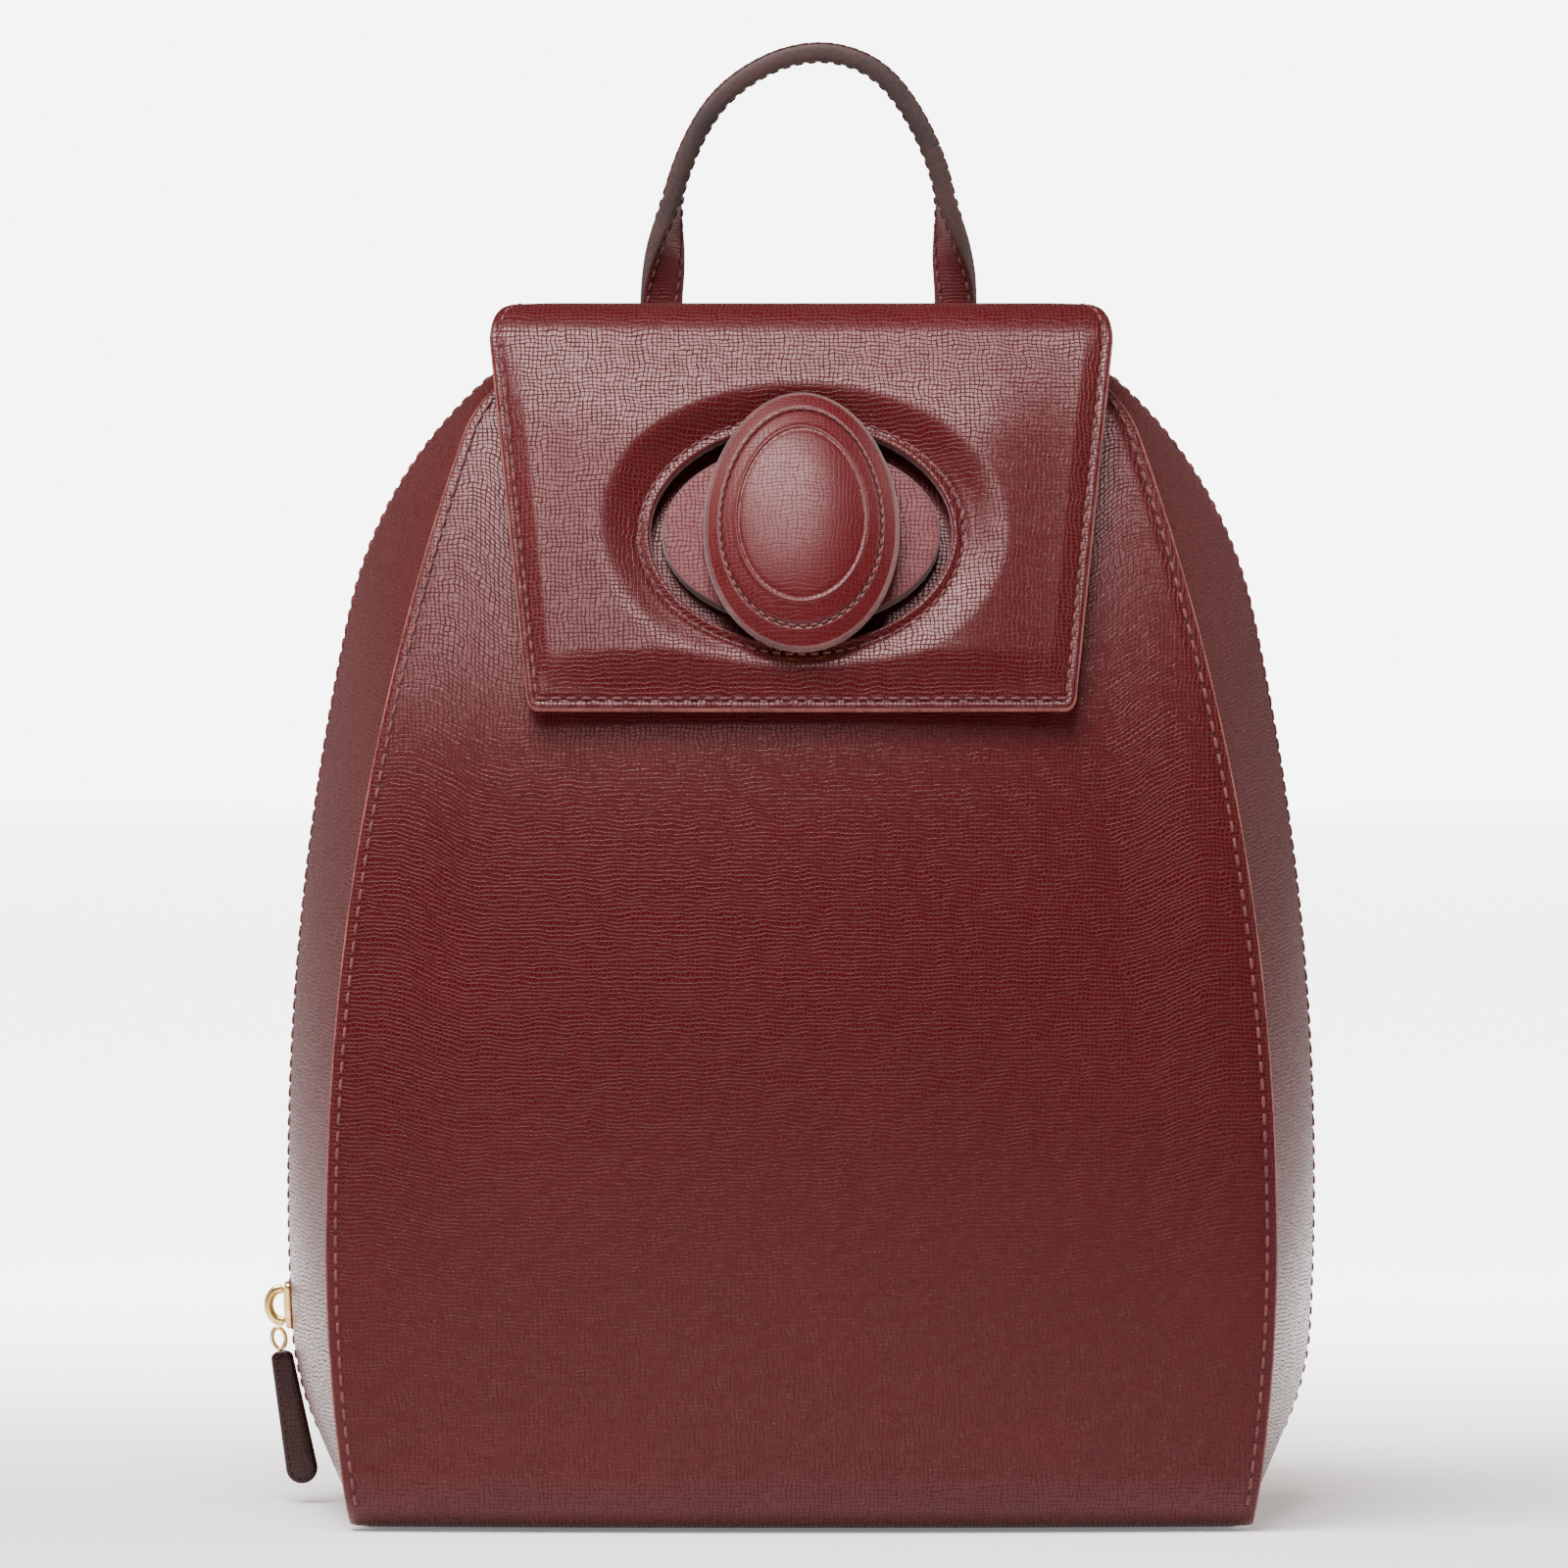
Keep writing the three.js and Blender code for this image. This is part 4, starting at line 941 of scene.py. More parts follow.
def base_rim(half, front, back, radius=4.0):
    """The base's outline: bowed in front like the heel of the front panel, with round corners behind."""
    x = np.linspace(-half, half, 60)
    bowed = np.stack([x, front + BASE_BOW * (x / half) ** 2], axis=1)
    right = arc_points((half - radius, back - radius), radius, 0, 90, 8)
    left = arc_points((-half + radius, back - radius), radius, 90, 180, 8)
    return np.concatenate([bowed, right, left])


BASE_HALF = 100.3
BASE_FRONT = -44.3
BASE_BOW = 3.9


def build_base():
    back = BACK_FACE - LEATHER - GAP
    leather_under = [suede, body_leather, body_leather]
    for name, inset, low, high, materials, finish in (
        ("Base_Panel", 0.0, 0.0, LEATHER, leather_under, "outer_leather"),
        ("Base_Board", 5.0, LEATHER + GAP, 2 * LEATHER + GAP, BOARD_SET, "board"),
    ):
        node = name.lower()
        rim = base_rim(BASE_HALF - inset, BASE_FRONT + inset, back - inset)
        piece = plate(name, rim, flat_on(0.0), low, high, materials, 0.5)
        fitted(piece, "bag_back", finish, node)


# ---------------------------------------------------------------- the lock's own frame

lock_share = profile.share_at(LOCK_Z)
lock_at, lock_along = profile.at(lock_share)
LOCK_ORIGIN = np.array([0.0, lock_at[0], lock_at[1]])
LOCK_OUT = np.array([0.0, -lock_along[1], lock_along[0]])
LOCK_UP = np.array([0.0, lock_along[0], lock_along[1]])


def on_lock(lift=0.0):
    """Places a plate on the lock: x across, y up the slope, height out of the front."""
    def place(x, y, height):
        return (LOCK_ORIGIN + x[..., None] * np.array([1.0, 0, 0]) + y[..., None] * LOCK_UP
                + (height + lift)[..., None] * LOCK_OUT)
    return place


# ---------------------------------------------------------------- flap

FLAP_BEND = (4.0, 265.8)
FLAP_RADIUS = 11.0
FLAP_BACK = 21.0
FLAP_HALF = (62.5, 72.5, 62.0)          # half widths at the hem, the bend and the back
FLAP_CORNER = 6.5                       # radius of the flap's upper corners
FLAP_PAD = 3.0
FLAP_INNER = 1.1                        # the leather's inner face above the flap's inner line
FLAP_OUTER = 3.5

hem = np.array([-45.6, 187.0])
bend_from = arc_points(FLAP_BEND, FLAP_RADIUS, 150, 90)[0]
hem_way, bend_way = (np.array([math.sin(a), math.cos(a)]) for a in (math.radians(22), math.radians(30)))
flap_face_run = bezier_points(hem, hem + 30 * hem_way, bend_from - 30 * bend_way, bend_from)
flap_line = joined(
    flap_face_run,
    arc_points(FLAP_BEND, FLAP_RADIUS, 150, 90, 80),
    np.array([[FLAP_BEND[0], FLAP_BEND[1] + FLAP_RADIUS], [FLAP_BACK, FLAP_BEND[1] + FLAP_RADIUS]]),
)
FLAP_FACE = Line(flap_face_run).length + FLAP_RADIUS * math.radians(30)
FLAP_LENGTH = flap_line.length


def flap_half(far):
    """The flap's half width at a distance from its hem."""
    face = np.clip(far / FLAP_FACE, 0, 1)
    top = np.clip((far - FLAP_FACE) / (FLAP_LENGTH - FLAP_FACE), 0, 1)
    rounded = FLAP_CORNER * smooth(far, FLAP_FACE - 7, FLAP_FACE + 13)
    taper = (FLAP_HALF[1] - FLAP_CORNER - FLAP_HALF[2]) * top ** 2
    return FLAP_HALF[0] + (FLAP_HALF[1] - FLAP_HALF[0]) * face - rounded - taper


def flap_point(x, far, height):
    p, d = flap_line.at(far / FLAP_LENGTH)
    across = x / flap_half(far)
    y = p[..., 0] + 1.5 * across ** 2 - height * d[..., 1]
    return np.stack([x, y, p[..., 1] + height * d[..., 0]], axis=-1)


def in_lock(p):
    """Across, up and out of the front, in the lock's frame."""
    q = p - LOCK_ORIGIN
    return q[..., 0], q @ LOCK_UP, q @ LOCK_OUT


middle_far = np.linspace(0, FLAP_LENGTH, 800)
middle_up = in_lock(flap_point(0 * middle_far, middle_far, FLAP_OUTER))[1]
HOLE_FAR = float(np.interp(-LOCK_DROP, middle_up, middle_far))


def outside_lip(x, y):
    """Roughly how far a point of the lock's plane lies outside the flap's turned lip."""
    k = np.sqrt((x / LIP_HALF[0]) ** 2 + ((y + LOCK_DROP) / LIP_HALF[1]) ** 2)
    return (k - 1) * 30.0


def flap_surface(x, far, base, lip_height, pad):
    """A face of the flap: padded in the field, and sunk to a soft moat round the lock."""
    half = flap_half(far)
    side = half - np.abs(x)
    border = np.minimum(side, far)
    pillow = (0.35 * smooth(side, 2.4, 6.5) + 0.65 * smooth(side, 2.4, 30.0)) * smooth(far, 2.4, 14.0)
    field = pillow * smooth(FLAP_FACE - far, -6.0, 34.0)
    p = flap_point(x, far, base + pad * field)
    lx, ly, lz = in_lock(p)
    gap = outside_lip(lx, ly)
    sunk = 1 - smooth(gap, 1.8, 11.5)
    return p - (np.maximum(lz - lip_height, 0) * sunk)[..., None] * LOCK_OUT, border, gap


def flap_rim(inset, top, pitch=0.9):
    """The flap's outline in x and distance from the hem, once round, with small round corners at the hem."""
    low = FLAP_HALF[0] - inset
    far = np.linspace(inset + 2.5, top - inset, 120)
    side = np.stack([flap_half(far) - inset, far], axis=1)
    corner = arc_points((low - 2.2, inset + 2.2), 2.2, 270, 360, 8)
    right = np.concatenate([[[0.0, inset]], corner, side, [[0.0, top - inset]]])
    loop = np.concatenate([right, (right * [-1, 1])[::-1][1:]])
    line = Line(loop)
    return line.at(np.linspace(0, 1, int(line.length / pitch), endpoint=False))[0]


def pierced_sheet(name, rim, outer_of, inner_of, materials, rings=80, edge=0.4):
    """A sheet with an oval hole for the lock, made of rings from the hole's lip out to its rim."""
    away = rim - [0, HOLE_FAR]
    a = np.arctan2(away[:, 1] / LIP_HALF[1], away[:, 0] / LIP_HALF[0])
    lip = np.stack([LIP_HALF[0] * np.cos(a), HOLE_FAR + LIP_HALF[1] * np.sin(a)], axis=1)
    r = np.linspace(0, 1, rings)[:, None, None]
    flat = lip * (1 - r) + rim * r
    outer = outer_of(flat[..., 0], flat[..., 1])
    inner = inner_of(flat[..., 0], flat[..., 1])
    n = len(rim)

    def bead(beside, k):
        """Three rings that round off a rim, between the outer and the inner face."""
        push = unit(outer[k] - outer[beside]) * edge
        return [outer[k] * (1 - depth) + inner[k] * depth + push * out
                for depth, out in ((0.15, 0.7), (0.5, 1.0), (0.85, 0.7))]
    far_bead = bead(rings - 2, rings - 1)
    near_bead = bead(1, 0)[::-1]
    loops = list(outer) + far_bead + list(inner[::-1]) + near_bead
    flats = list(flat) + [flat[-1]] * 3 + list(flat[::-1]) + [flat[0]] * 3
    count = len(loops)
    verts = np.concatenate(loops)
    grain = np.concatenate([np.column_stack([f[:, 0] + 700, f[:, 1], np.zeros(n)]) for f in flats])
    faces = ring_faces(count, n, closed=True)
    slots = []
    for k in range(count):
        part = 0 if k < rings - 1 else 2 if k < rings + 3 else 1 if k < 2 * rings + 2 else 3
        slots += [part] * n
    return outward_faces(mesh_object(name, verts, faces, materials, slots, grain))


def flap_outer(x, far):
    p, border, gap = flap_surface(x, far, FLAP_OUTER, 4.8, FLAP_PAD)
    ahead = flap_line.at(far / FLAP_LENGTH)[1]
    normal = np.stack([0 * x, -ahead[..., 1], ahead[..., 0]], axis=-1)
    groove = -0.45 * np.exp(-((border - 2.0) / 0.75) ** 2) - 0.45 * np.exp(-border / 0.6)
    welt = 0.35 * np.exp(-((gap - 0.5) / 0.55) ** 2) - 0.35 * np.exp(-((gap - 2.3) / 0.7) ** 2)
    return p + (groove + welt)[..., None] * normal


def flap_inner(x, far):
    return flap_surface(x, far, FLAP_INNER, 3.2, 0.0)[0]


def build_flap():
    flap = pierced_sheet("Flap_Leather", flap_rim(0.0, FLAP_LENGTH), flap_outer, flap_inner,
                         [body_leather, suede, edge_paint, soft_leather])
    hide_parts("flap_front", "flap_top", "lock_lip")
    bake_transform(flap)

    def lining_outer(x, far):
        return flap_surface(x, far, 0.8, 3.0, 0.0)[0]

    def lining_inner(x, far):
        return flap_surface(x, far, 0.0, 2.3, 0.0)[0]
    lining = pierced_sheet("Flap_Lining", flap_rim(1.5, FLAP_FACE), lining_outer, lining_inner,
                           [lining_cloth] * 4, 50, 0.1)
    fitted(lining, "flap", "lining_cloth", "flap_lining")

    far = np.linspace(FLAP_FACE + 8, 2.4, 300)
    side = np.stack([flap_half(far) - 2.0, far], axis=1)
    line = Line(np.concatenate([side, (side * [-1, 1])[::-1]]))
    path = line.at(np.linspace(0, 1, 1400))[0]
    p = flap_outer(path[:, 0], path[:, 1])
    ahead = flap_line.at(path[:, 1] / FLAP_LENGTH)[1]
    normal = np.stack([0 * path[:, 0], -ahead[:, 1], ahead[:, 0]], axis=-1)
    border = stitches("Flap_Border_Stitches", p, normal, pitch=3.5, radius=0.34)
    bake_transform(border)

    a = np.linspace(0, 2 * np.pi, 400)
    gap = 2.3
    ring_x = (LIP_HALF[0] + gap) * np.cos(a)
    ring_far = HOLE_FAR + (LIP_HALF[1] + gap) * np.sin(a)
    p = flap_outer(ring_x, ring_far)
    normal = np.broadcast_to(LOCK_OUT, p.shape)
    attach(stitches("Lip_Stitches", p, normal, pitch=2.9, radius=0.31), "flap")


# ---------------------------------------------------------------- turn lock

KNOB_LOW = 5.8
KNOB_FOOT = 7.9


def knob_crown(k):
    """The knob cover's height at a share of the way to its rim, with its one plain embossed line."""
    dome = 6.3 * (1 - k ** 2.3)
    groove = -0.45 * math.exp(-((k - 0.86) / 0.018) ** 2)
    line = 0.34 * math.exp(-((k - 0.70) / 0.016) ** 2) - 0.12 * math.exp(-((k - 0.665) / 0.02) ** 2)
    return dome + groove + line


def build_lock():
    seat = plate("Lock_Plate", oval(*PLATE_HALF), on_lock(), GAP, 3.3, [plate_leather, suede, dark_edge], 0.5,
                 lambda k: 0.4 * (1 - k ** 2))
    fitted(seat, "front_shell", "outer_leather", "lock_plate")
    washer_top = -LEATHER - BOARD - 3 * GAP - 0.2
    washer = plate("Lock_Washer", oval(14, 14, 48), on_lock(), washer_top - 1.3, washer_top, BRASS_SET, 0.3)
    fitted(washer, "front_shell", "gold_metal", "lock_washer")

    stem = plate("Knob_Spindle", oval(4, 4, 32), on_lock(), -6.6, KNOB_LOW - GAP, BRASS_SET, 0.3)
    foot_rim = oval(KNOB_HALF[0] - 0.8, KNOB_HALF[1] - 0.8, 96, KNOB_EGG)
    foot = plate("Knob_Base", foot_rim, on_lock(), KNOB_LOW, KNOB_LOW + 1.8, BRASS_SET, 0.5)
    rim = oval(*KNOB_HALF, 120, KNOB_EGG)
    cover = plate("Knob_Cover", rim, on_lock(KNOB_FOOT), 0.0, 2.1, [knob_leather, suede, knob_leather], 1.0,
                  knob_crown, rings=110)
    for piece, node, finish in ((stem, "knob_spindle", "gold_metal"), (foot, "knob_base", "gold_metal"),
                                (cover, "knob_cover", "outer_leather")):
        fitted(piece, "turn_knob", finish, node)
    k = 0.86
    loop = oval(*KNOB_HALF, 240, KNOB_EGG)
    loop = np.concatenate([loop, loop[:1]])
    way = unit(loop)
    ring = (loop - way) * k
    height = np.full(len(loop), 2.1 + knob_crown(k) + 0.18)
    p = on_lock(KNOB_FOOT)(ring[:, 0], ring[:, 1], height)
    slope = 0.5
    normal = unit(LOCK_OUT + slope * (way[:, :1] * np.array([1.0, 0, 0]) + way[:, 1:] * LOCK_UP))
    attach(stitches("Knob_Stitches", p, normal, pitch=2.5, radius=0.31), "turn_knob")


# ---------------------------------------------------------------- zip slider and its pull

SLIDER_Z = 46.0
PULL_AT = (-122.2, 30.0, 38.2)
PULL_LEAN = -10.0


def on_slider():
    """Places slider pieces: x across the zip, y up it, height out of the gusset."""
    at, ahead, out = (v[0] for v in zip_frames(np.array([outline.share_at(SLIDER_Z) - 1])))

    def place(x, y, height):
        return at + x[..., None] * np.array([0.0, 1.0, 0.0]) + y[..., None] * ahead + height[..., None] * out
    return place


def tapered_rim(half_top, half_low, reach, radius=1.6):
    """A rounded outline, wider at its upper end."""
    rim = rounded_rectangle(half_top, reach, radius, 8)
    share = (rim[:, 1] + reach) / (2 * reach)
    return np.stack([rim[:, 0] * (half_low + (half_top - half_low) * share) / half_top, rim[:, 1]], axis=1)


def build_slider():
    place = on_slider()
    rim = tapered_rim(4.0, 3.1, 5.5)
    top = plate("Slider_Top", rim, place, TOOTH_TOP + 0.4, 1.4, BRASS_SET, 0.8, lambda k: 0.4 * (1 - k ** 2))
    bottom = plate("Slider_Bottom", rim, place, TOOTH_LOW - 2.8, TOOTH_LOW - 1.3, BRASS_SET, 0.5)
    arch = spline([(1.9, 3.9), (3.9, 3.2), (5.1, 1.2), (5.1, -1.2), (3.9, -3.2), (1.9, -3.9)], 60).points
    line = place(0 * arch[:, 0], arch[:, 1], arch[:, 0])
    bail = tube("Slider_Bail", line, 0.75, brass, 14, flat=1.5)
    for piece in (top, bottom, bail):
        fitted(piece, "zip_slider", "gold_metal", piece.name.lower())


def on_pull(x, y, height):
    """Places pull pieces: x across, y up from the pivot, height towards the front."""
    lean = math.radians(PULL_LEAN)
    px = PULL_AT[0] + x * math.cos(lean) + y * math.sin(lean)
    pz = PULL_AT[2] - x * math.sin(lean) + y * math.cos(lean)
    return np.stack([px, PULL_AT[1] - height + 0 * x, pz], axis=-1)


def pull_rim(shrink=0.0):
    """The leather tab's outline: narrow at the link, wider and round at its end."""
    top, low, long = 2.6 - shrink, 3.7 - shrink, 34.6 - shrink
    end = arc_points((0, -long + low), low, 180, 360, 24)
    head = arc_points((0, -3.0 - shrink - 1.6), 1.6, 0, 180, 10) * [top / 1.6, 1.0]
    return np.concatenate([end, head])


def build_pull():
    a = np.linspace(0, 2 * np.pi, 40, endpoint=False)
    loop = on_pull(1.55 * np.cos(a), -0.1 + 2.45 * np.sin(a), 0 * a)
    link = tube("Pull_Link", loop, 0.5, brass, 12, closed=True)
    tab = plate("Pull_Tab", pull_rim(), on_pull, -1.3, 1.1, [glossy_leather, glossy_leather, dark_edge], 0.6,
                lambda k: 0.2 * (1 - k ** 3))
    rim = pull_rim(0.95)
    loop = np.concatenate([rim, rim[:1]])
    normal = np.broadcast_to([0.0, -1.0, 0.0], (len(loop), 3))
    for piece, node, finish in ((link, "pull_link", "gold_metal"), (tab, "pull_tab", "dark_leather")):
        fitted(piece, "zip_pull", finish, node)
    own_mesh(tab)
    seam_row = stitches("Pull_Stitches", on_pull(loop[:, 0], loop[:, 1], np.full(len(loop), 1.12)), normal,
                        pitch=2.0, radius=0.2)
    seam_row.data.materials[0] = glossy_leather
    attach(seam_row, "zip_pull")
    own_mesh(seam_row)


# ---------------------------------------------------------------- ribbons of leather

class Ribbon:
    """A strap along a line. across gives its width's direction; its outer face is out of width x along."""

    def __init__(self, points, across):
        self.line = spline(points, 600)
        self.across = across

    def frame(self, t):
        t = np.asarray(t, float)
        at, ahead = self.line.at(t)
        width = self.across(t)
        width = unit(width - ahead * np.sum(width * ahead, axis=-1, keepdims=True))
        return at, width, ahead, np.cross(width, ahead)

    def place(self, t, x, lift):
        at, width, _, out = self.frame(t)
        return at + np.asarray(x)[..., None] * width + np.asarray(lift)[..., None] * out


def strap_section(width, thickness, puff=0.25, bevel=0.6):
    """A strap's section, two slightly puffed faces and two round edges, with the material of each part."""
    x = np.linspace(-1, 1, 15) * (width / 2 - bevel)
    seam_dip = 0.4 * np.exp(-((np.abs(x) - width / 2 + 1.9) / 0.5) ** 2)
    up = thickness / 2 + puff * (1 - (2 * x / width) ** 2 - seam_dip)
    a = np.radians(np.linspace(70, -70, 7))
    side = np.stack([width / 2 - bevel + bevel * np.cos(a), (thickness / 2 - 0.08) * np.sin(a)], axis=1)
    face = np.stack([x, up], axis=1)
    section = np.concatenate([face, side, face[::-1] * [1, -1], side[::-1] * [-1, 1]])
    parts = [0] * (len(face) - 1) + [1] * (len(side) + 1)
    return section, parts * 2


def strap(name, ribbon, start, end, width, thickness, lift, materials, taper=None, steps=260):
    """A strap from one share of a ribbon to another. taper narrows it towards its end."""
    section, parts = strap_section(width, thickness)
    t = np.linspace(start, end, steps)
    at, across, ahead, out = ribbon.frame(t)
    narrow = np.ones(steps) if taper is None else taper(t)
    verts = (at[:, None] + section[None, :, :1] * narrow[:, None, None] * across[:, None]
             + (section[None, :, 1:] + lift) * out[:, None])
    n = len(section)
    far = (t - start) * ribbon.line.length
    x, height = section[None, :, 0], section[None, :, 1]
    grain = np.stack(np.broadcast_arrays(x + 900, far[:, None], height), axis=-1).reshape(-1, 3)
    faces = ring_faces(steps, n) + end_faces(steps, n)
    slots = parts * (steps - 1) + [1, 1]
    return outward_faces(mesh_object(name, verts.reshape(-1, 3), faces, materials, slots, grain))


def strap_stitches(name, ribbon, start, end, width, height, inset=1.9, pitch=3.2, radius=0.34, colour=None):
    t = np.linspace(start, end, 700)
    rows = []
    for side in (-1, 1):
        x = np.full(len(t), side * (width / 2 - inset))
        line = ribbon.place(t, x, np.full(len(t), height))
        normal = ribbon.frame(t)[3] * np.sign(height)
        label = "Left" if side < 0 else "Right"
        rows.append(stitches(f"{name}_{label}", line, normal, pitch, radius, colour=colour))
    return rows


# ---------------------------------------------------------------- handle

HANDLE_Y = 60.8
HANDLE_Z = 271.5
HANDLE_LEGS = (-32.6, 36.4)
HANDLE_WIDTH = 10.0
HANDLE_THICK = 4.5
TAB_REACH = 16                          # half the length of the tabs that hold the handle
HANDLE_LINE = ((-32.6, HANDLE_Z), (-32.6, 284), (-29.5, 307), (-20.5, 326), (-6.5, 336.4), (8.5, 338.3),
               (21.5, 331), (32, 312), (35.9, 288), (36.4, HANDLE_Z))


def handle_across(t):
    """The handle lies flat at each end and turns edge-on within its first fifth."""
    turn = (math.pi / 2) * smooth(np.minimum(t, 1 - t), 0.03, 0.22)
    side = np.where(t < 0.5, 1.0, -1.0)
    return np.stack([side * np.cos(turn), np.sin(turn), 0 * t], axis=-1)


def build_handle():
    points = [(x, HANDLE_Y, z) for x, z in HANDLE_LINE]
    ribbon = Ribbon(points, handle_across)
    materials = [strap_leather, dark_edge]
    thick = HANDLE_THICK - 0.5
    band = strap("Handle_Strap", ribbon, 0.0, 1.0, HANDLE_WIDTH, thick, 0.0, materials, steps=420)
    fitted(band, "handle", "dark_leather", "handle_strap")
    for height, label in ((HANDLE_THICK / 2 - 0.12, "Outer"), (-HANDLE_THICK / 2 + 0.12, "Inner")):
        rows = strap_stitches(f"Handle_{label}_Stitches", ribbon, 0.01, 0.99, HANDLE_WIDTH, height,
                              1.7, 3.0, 0.26, dark_thread)
        for row in rows:
            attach(row, "handle")
    for label, x in zip(("Left", "Right"), HANDLE_LEGS):
        place = on_back(x, HANDLE_Z - 3.2 - TAB_REACH)
        rim = rounded_rectangle(HANDLE_WIDTH / 2, TAB_REACH, 4.5)
        tab = plate(f"Handle_Tab_{label}", rim, place, 0.0, 2.8, LEATHER_SET, 0.5, slight_crown)
        fitted(tab, "bag_back", "outer_leather", f"handle_tab_{label.lower()}")
        seam_rim = rounded_rectangle(HANDLE_WIDTH / 2 - 1.5, TAB_REACH - 1.5, 3.2)
        border_stitches(f"Handle_Tab_Stitches_{label}", seam_rim, place, 2.85, 2.6)


def border_stitches(name, rim, place, height, pitch):
    """A row of stitches round a plate that is sewn to the back panel."""
    loop = np.concatenate([rim, rim[:1]])
    p = place(loop[:, 0], loop[:, 1], np.full(len(loop), height))
    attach(stitches(name, p, np.broadcast_to([0.0, 1.0, 0.0], p.shape), pitch, 0.34), "bag_back")


# ---------------------------------------------------------------- shoulder straps

STRAP_WIDTH = 18.0
STRAP_THICK = 3.0
STRAP_LINE = ((16, 60.6, 224), (19.5, 66, 211), (31, 89, 180), (46, 104, 133), (60, 103, 88), (71, 87, 56),
              (76, 70.6, 37.6))
STRAP_TIP = 0.76
LOWER_START = 0.60
LOWER_LIFT = -3.6
BUCKLE_AT = 0.57
KEEPER_AT = 0.69
RING_AT = (76.0, 65.5, 30.0)
RING_HALF = 10.4
RING_REACH = 5.5


def along_x(t):
    return np.broadcast_to([1.0, 0.0, 0.0], np.shape(t) + (3,))


def closed_spline(points, count=160):
    p = np.asarray(points, float)
    wrapped = np.concatenate([p[-2:], p, p[:2]])
    whole = spline(wrapped, count * 2).points
    first = np.argmin(np.linalg.norm(whole - p[0], axis=1))
    step = count * 2 // len(wrapped)
    return whole[first:first + step * len(p)]


def leather_loop(name, outer, inner, place, half, materials):
    """A closed band with an outer and an inner outline, half its width to each side."""
    n = len(outer)
    rows = [(outer, -half + 0.3, 0), (outer, half - 0.3, 0), ((outer * 3 + inner) / 4, half, 1),
            ((outer + inner * 3) / 4, half, 1), (inner, half - 0.3, 1), (inner, -half + 0.3, 0),
            ((outer + inner * 3) / 4, -half, 1), ((outer * 3 + inner) / 4, -half, 1)]
    verts = np.concatenate([place(r[:, 0], r[:, 1], np.full(n, h)) for r, h, _ in rows])
    grain = np.concatenate([np.column_stack([r, np.full(n, h)]) for r, h, _ in rows])
    faces = ring_faces(len(rows), n, closed=True)
    slots = [0 if k in (0, 4) else 1 for k in range(len(rows)) for _ in range(n)]
    return outward_faces(mesh_object(name, verts, faces, materials, slots, grain))


def build_strap(label, side):
    ribbon = Ribbon([(side * x, y, z) for x, y, z in STRAP_LINE], along_x)
    at, width, ahead, out = (v[0] for v in ribbon.frame(np.array([BUCKLE_AT])))
    sign = 1.0 if out[1] > 0 else -1.0
    node = label.lower()
    materials = [body_leather, edge_paint]

    def tip(t):
        left = (STRAP_TIP - t) * ribbon.line.length
        return np.where(left < 9, np.sqrt(np.clip(1 - (1 - left / 9) ** 2, 0.02, 1)), 1.0)
    upper = strap(f"Shoulder_Strap_{label}", ribbon, 0.0, STRAP_TIP, STRAP_WIDTH, STRAP_THICK - 0.5, 0.0,
                  materials, tip)
    lower = strap(f"Lower_Strap_{label}", ribbon, LOWER_START, 1.0, STRAP_WIDTH, STRAP_THICK - 0.5,
                  sign * LOWER_LIFT, materials)
    for piece, name in ((upper, "shoulder_strap"), (lower, "lower_strap")):
        fitted(piece, "bag_back", "outer_leather", f"{name}_{node}")
    for row in strap_stitches(f"Strap_Stitches_{label}", ribbon, 0.01, STRAP_TIP - 0.05, STRAP_WIDTH,
                              sign * (STRAP_THICK / 2 - 0.08)):
        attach(row, "bag_back")
    for row in strap_stitches(f"Strap_Back_Stitches_{label}", ribbon, 0.01, 0.55, STRAP_WIDTH,
                              -sign * (STRAP_THICK / 2 - 0.08)):
        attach(row, "bag_back")
    for i, share in enumerate((0.43, 0.50, 0.64, 0.71)):
        centre, w, a, o = (v[0] for v in ribbon.frame(np.array([share])))

        def punched(x, y, h, centre=centre, w=w, a=a, o=o):
            return centre + x[..., None] * w + y[..., None] * a + h[..., None] * o * sign
        # each punched hole is a dark oval of painted shade laid on the strap's face
        hole = plate(f"Strap_Hole_Shade_{label}_{i + 1}", oval(1.3, 1.9, 24), punched, 1.2, STRAP_THICK / 2 + 0.08,
                     [hole_shade, hole_shade, dark_edge], 0.1)
        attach(hole, "bag_back")

    def local(x, y, z):
        return at + x * width + y * ahead + sign * z * out
    w, length, rise = 10.7, 10.0, 2.9
    corners = [(-w, 0, -rise), (-w * 0.5, 0.2, -rise), (w * 0.5, 0.2, -rise), (w, 0, -rise),
               (w, -length / 2, 0), (w, -length, rise), (w * 0.5, -length - 0.4, rise),
               (-w * 0.5, -length - 0.4, rise), (-w, -length, rise), (-w, -length / 2, 0)]
    loop = closed_spline([local(*c) for c in corners])
    buckle = tube(f"Strap_Buckle_{label}", loop, 1.1, brass, 16, closed=True)
    bend = [(0, -0.2, -rise + 1.6), (0, -2.8, 0.6), (0, -6.4, 4.4), (0, -length - 2, 5.2)]
    prong_line = spline([local(*c) for c in bend], 60).points
    prong = tube(f"Buckle_Prong_{label}", prong_line, 0.72, brass, 14,
                 taper=np.interp(np.linspace(0, 1, len(prong_line)), (0, 0.85, 1), (1, 1, 0.6)))
    fitted(buckle, "bag_back", "gold_metal", f"strap_buckle_{node}")
    fitted(prong, f"prong_{node}", "gold_metal", f"buckle_prong_{node}")
    build_keeper(label, ribbon, sign)
    build_ring(label, side)


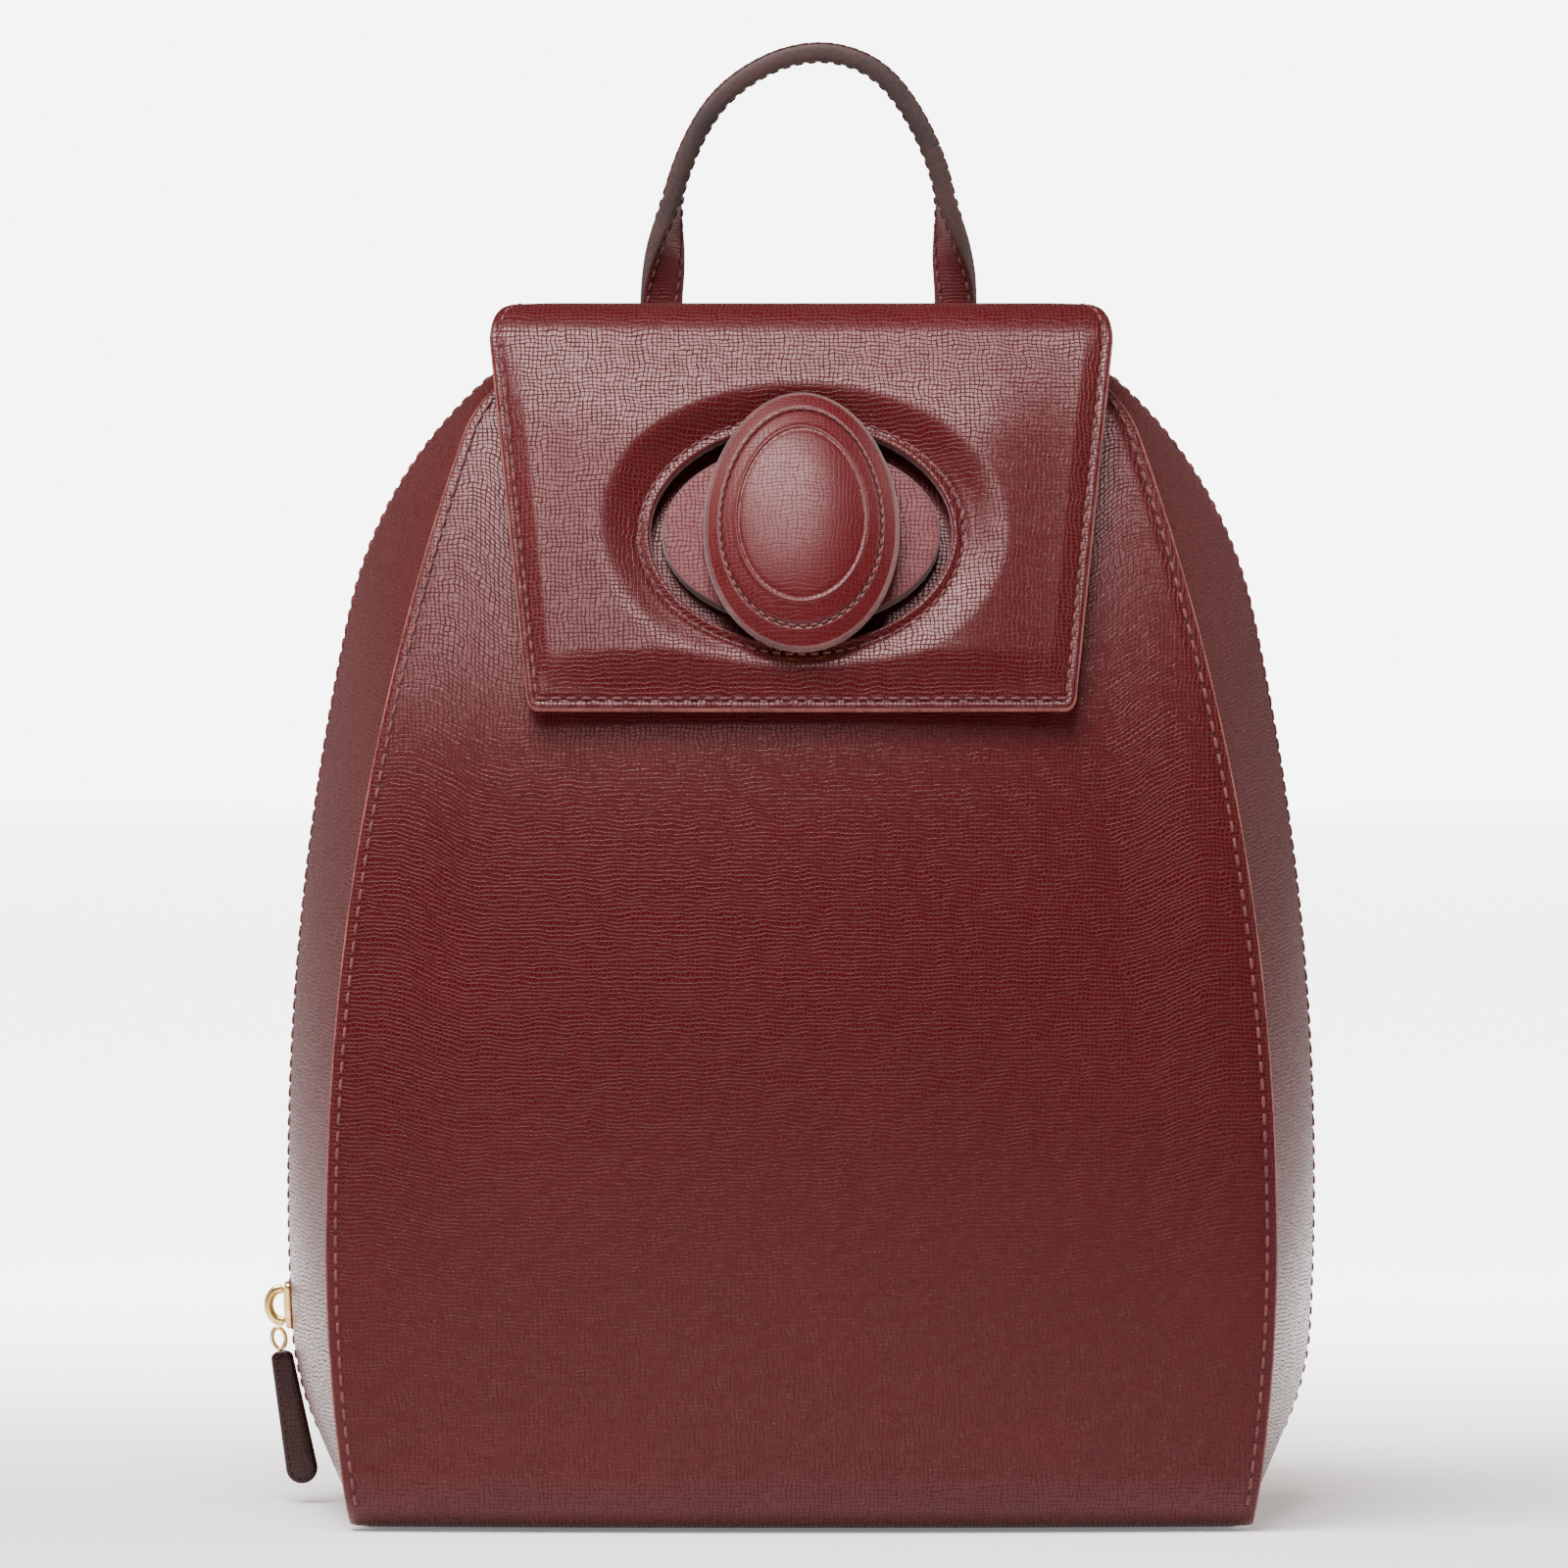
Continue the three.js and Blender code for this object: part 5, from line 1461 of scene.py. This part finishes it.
def build_keeper(label, ribbon, sign):
    """A leather loop that holds the strap's tip against the lower strap."""
    half, under, over, wall = STRAP_WIDTH / 2 + 0.5, 5.6, 2.0, 1.2
    at, width, ahead, out = (v[0] for v in ribbon.frame(np.array([KEEPER_AT])))
    middle = sign * (over - under) / 2

    def place(x, z, h):
        return at + x[..., None] * width + h[..., None] * ahead + (z + middle)[..., None] * out
    inner = rounded_rectangle(half, (over + under) / 2, 0.8, 8)
    outer = rounded_rectangle(half + wall, (over + under) / 2 + wall, 2.0, 8)
    if len(outer) != len(inner):
        raise ValueError("the keeper's two outlines need the same number of points")
    loop = leather_loop(f"Strap_Keeper_{label}", outer, inner, place, 3.0, [body_leather, edge_paint])
    fitted(loop, "bag_back", "outer_leather", f"strap_keeper_{label.lower()}")


def build_ring(label, side):
    to_strap = np.array([0.0, 0.55, 0.835])
    centre = np.array([side * RING_AT[0], RING_AT[1], RING_AT[2]])
    corners = ((-RING_HALF, -1), (RING_HALF, -1), (RING_HALF, 1), (-RING_HALF, 1))
    points = []
    for (x, d), (next_x, next_d) in zip(corners, corners[1:] + corners[:1]):
        for share in (0.10, 0.5, 0.90):
            reach = (d + (next_d - d) * share) * RING_REACH
            points.append(centre + [x + (next_x - x) * share, 0, 0] + reach * to_strap)
    ring = tube(f"Strap_Ring_{label}", closed_spline(points), 1.1, brass, 16, closed=True)
    fitted(ring, "bag_back", "gold_metal", f"strap_ring_{label.lower()}")

    place = on_back(side * RING_AT[0], 16)
    tab = plate(f"Ring_Tab_{label}", rounded_rectangle(9, 9, 2), place, 0.0, 1.9, LEATHER_SET, 0.4)
    fitted(tab, "bag_back", "outer_leather", f"ring_tab_{label.lower()}")
    border_stitches(f"Ring_Tab_Stitches_{label}", rounded_rectangle(7.2, 7.2, 1), place, 1.85, 2.8)


def build_straps():
    place = on_back(0.0, 240.5)
    rim = rounded_rectangle(26, 12, 4)
    patch = plate("Strap_Anchor", rim, place, 0.0, 1.8, LEATHER_SET, 0.4, slight_crown)
    fitted(patch, "bag_back", "outer_leather", "strap_anchor")
    border_stitches("Strap_Anchor_Stitches", rounded_rectangle(24, 10, 2.6), place, 1.88, 3.2)
    build_strap("Left", -1)
    build_strap("Right", 1)


# ---------------------------------------------------------------- light, floor and camera

WHITE = rgb(1, 1, 1)
FLOOR_GLOW = 0.2
GLOW_BEHIND = 4.7                       # added to the floor's glow behind the bag
WALL_GLOW = 7.0
WORLD_GLOW = 0.035


def glowing(name, strength):
    m = Recipe(name)
    m.node("OutputMaterial", Surface=m.node("Emission", Color=WHITE, Strength=strength).outputs[0])
    return m.material


def pale_floor():
    """Plain pale floor, lit up behind the bag so that it runs into the backdrop."""
    m = Recipe("pale_floor")
    axes = m.node("SeparateXYZ", Vector=m.node("NewGeometry").outputs["Position"]).outputs
    aside = m.maths("SUBTRACT", m.maths("ABSOLUTE", axes[0]), m.times(axes[1], 0.045))
    behind = m.times(m.spread(axes[1], 0.02, 0.8), m.spread(aside, 0.36, 0.23))
    return m.finish(
        Base_Color=rgb(0.92, 0.92, 0.92),
        Roughness=0.9,
        Emission_Color=WHITE,
        Emission_Strength=m.plus(FLOOR_GLOW, m.times(behind, GLOW_BEHIND)),
    )


def area_light(name, at, target, size, power, colour=(1, 1, 1)):
    data = bpy.data.lights.new(name, "AREA")
    data.shape = "RECTANGLE"
    data.size, data.size_y = size
    data.energy = power
    data.color = colour
    lamp = bpy.data.objects.new(name, data)
    lamp.location = at
    lamp.rotation_euler = (Vector(target) - Vector(at)).to_track_quat("-Z", "Y").to_euler()
    bpy.context.scene.collection.objects.link(lamp)
    return lamp


def build_stage():
    size = 6.0
    verts = [(-size, -size, 0), (size, -size, 0), (size, size, 0), (-size, size, 0)]
    floor = mesh_object("Floor", np.array(verts) / MM, [[0, 1, 2, 3]], [pale_floor()])
    floor.location.z = -0.0006
    world = bpy.data.worlds.new("studio")
    world.use_nodes = True
    background = world.node_tree.nodes["Background"]
    background.inputs[0].default_value = WHITE
    background.inputs[1].default_value = WORLD_GLOW
    bpy.context.scene.world = world
    middle = (0, 0.02, 0.15)
    area_light("Left_Panel", (-1.3, 0.25, 0.75), middle, (0.7, 1.7), 14, (1.0, 0.78, 0.70))
    area_light("Right_Panel", (1.3, 0.25, 0.75), middle, (0.7, 1.7), 18, (1.0, 0.82, 0.76))
    area_light("Top_Panel", (-0.28, -0.50, 1.45), (0, 0, 0.2), (1.2, 0.54), 48)
    area_light("High_Panel", (-0.34, -0.98, 1.20), (0, 0, 0.2), (0.9, 0.40), 11)
    area_light("Left_Fill", (-1.7, -1.5, 0.7), middle, (0.8, 0.8), 1.6)
    area_light("Right_Fill", (1.7, -1.5, 0.7), middle, (0.8, 0.8), 1.3)
    wall = [(-0.5, 4.4, -0.5), (0.5, 4.4, -0.5), (0.5, 4.4, 0.6), (-0.5, 4.4, 0.6)]
    backdrop = mesh_object(
        "Backdrop", np.array(wall) / MM, [[0, 1, 2, 3]], [glowing("white_backdrop", WALL_GLOW)])

    data = bpy.data.cameras.new("Camera")
    data.sensor_width = 36
    data.lens = 396
    camera = bpy.data.objects.new("Camera", data)
    target = Vector((-0.004, 0.0, 0.1690))
    distance, elevation = 4.0, math.radians(2.2)
    camera.location = target + distance * Vector((0, -math.cos(elevation), math.sin(elevation)))
    camera.rotation_euler = (target - camera.location).to_track_quat("-Z", "Y").to_euler()
    bpy.context.scene.collection.objects.link(camera)
    bpy.context.scene.camera = camera


# ---------------------------------------------------------------- the backpack

build_front()
build_gussets()
build_zip()
build_back()
build_base()
build_flap()
build_lock()
build_slider()
build_pull()
build_handle()
build_straps()
build_stage()
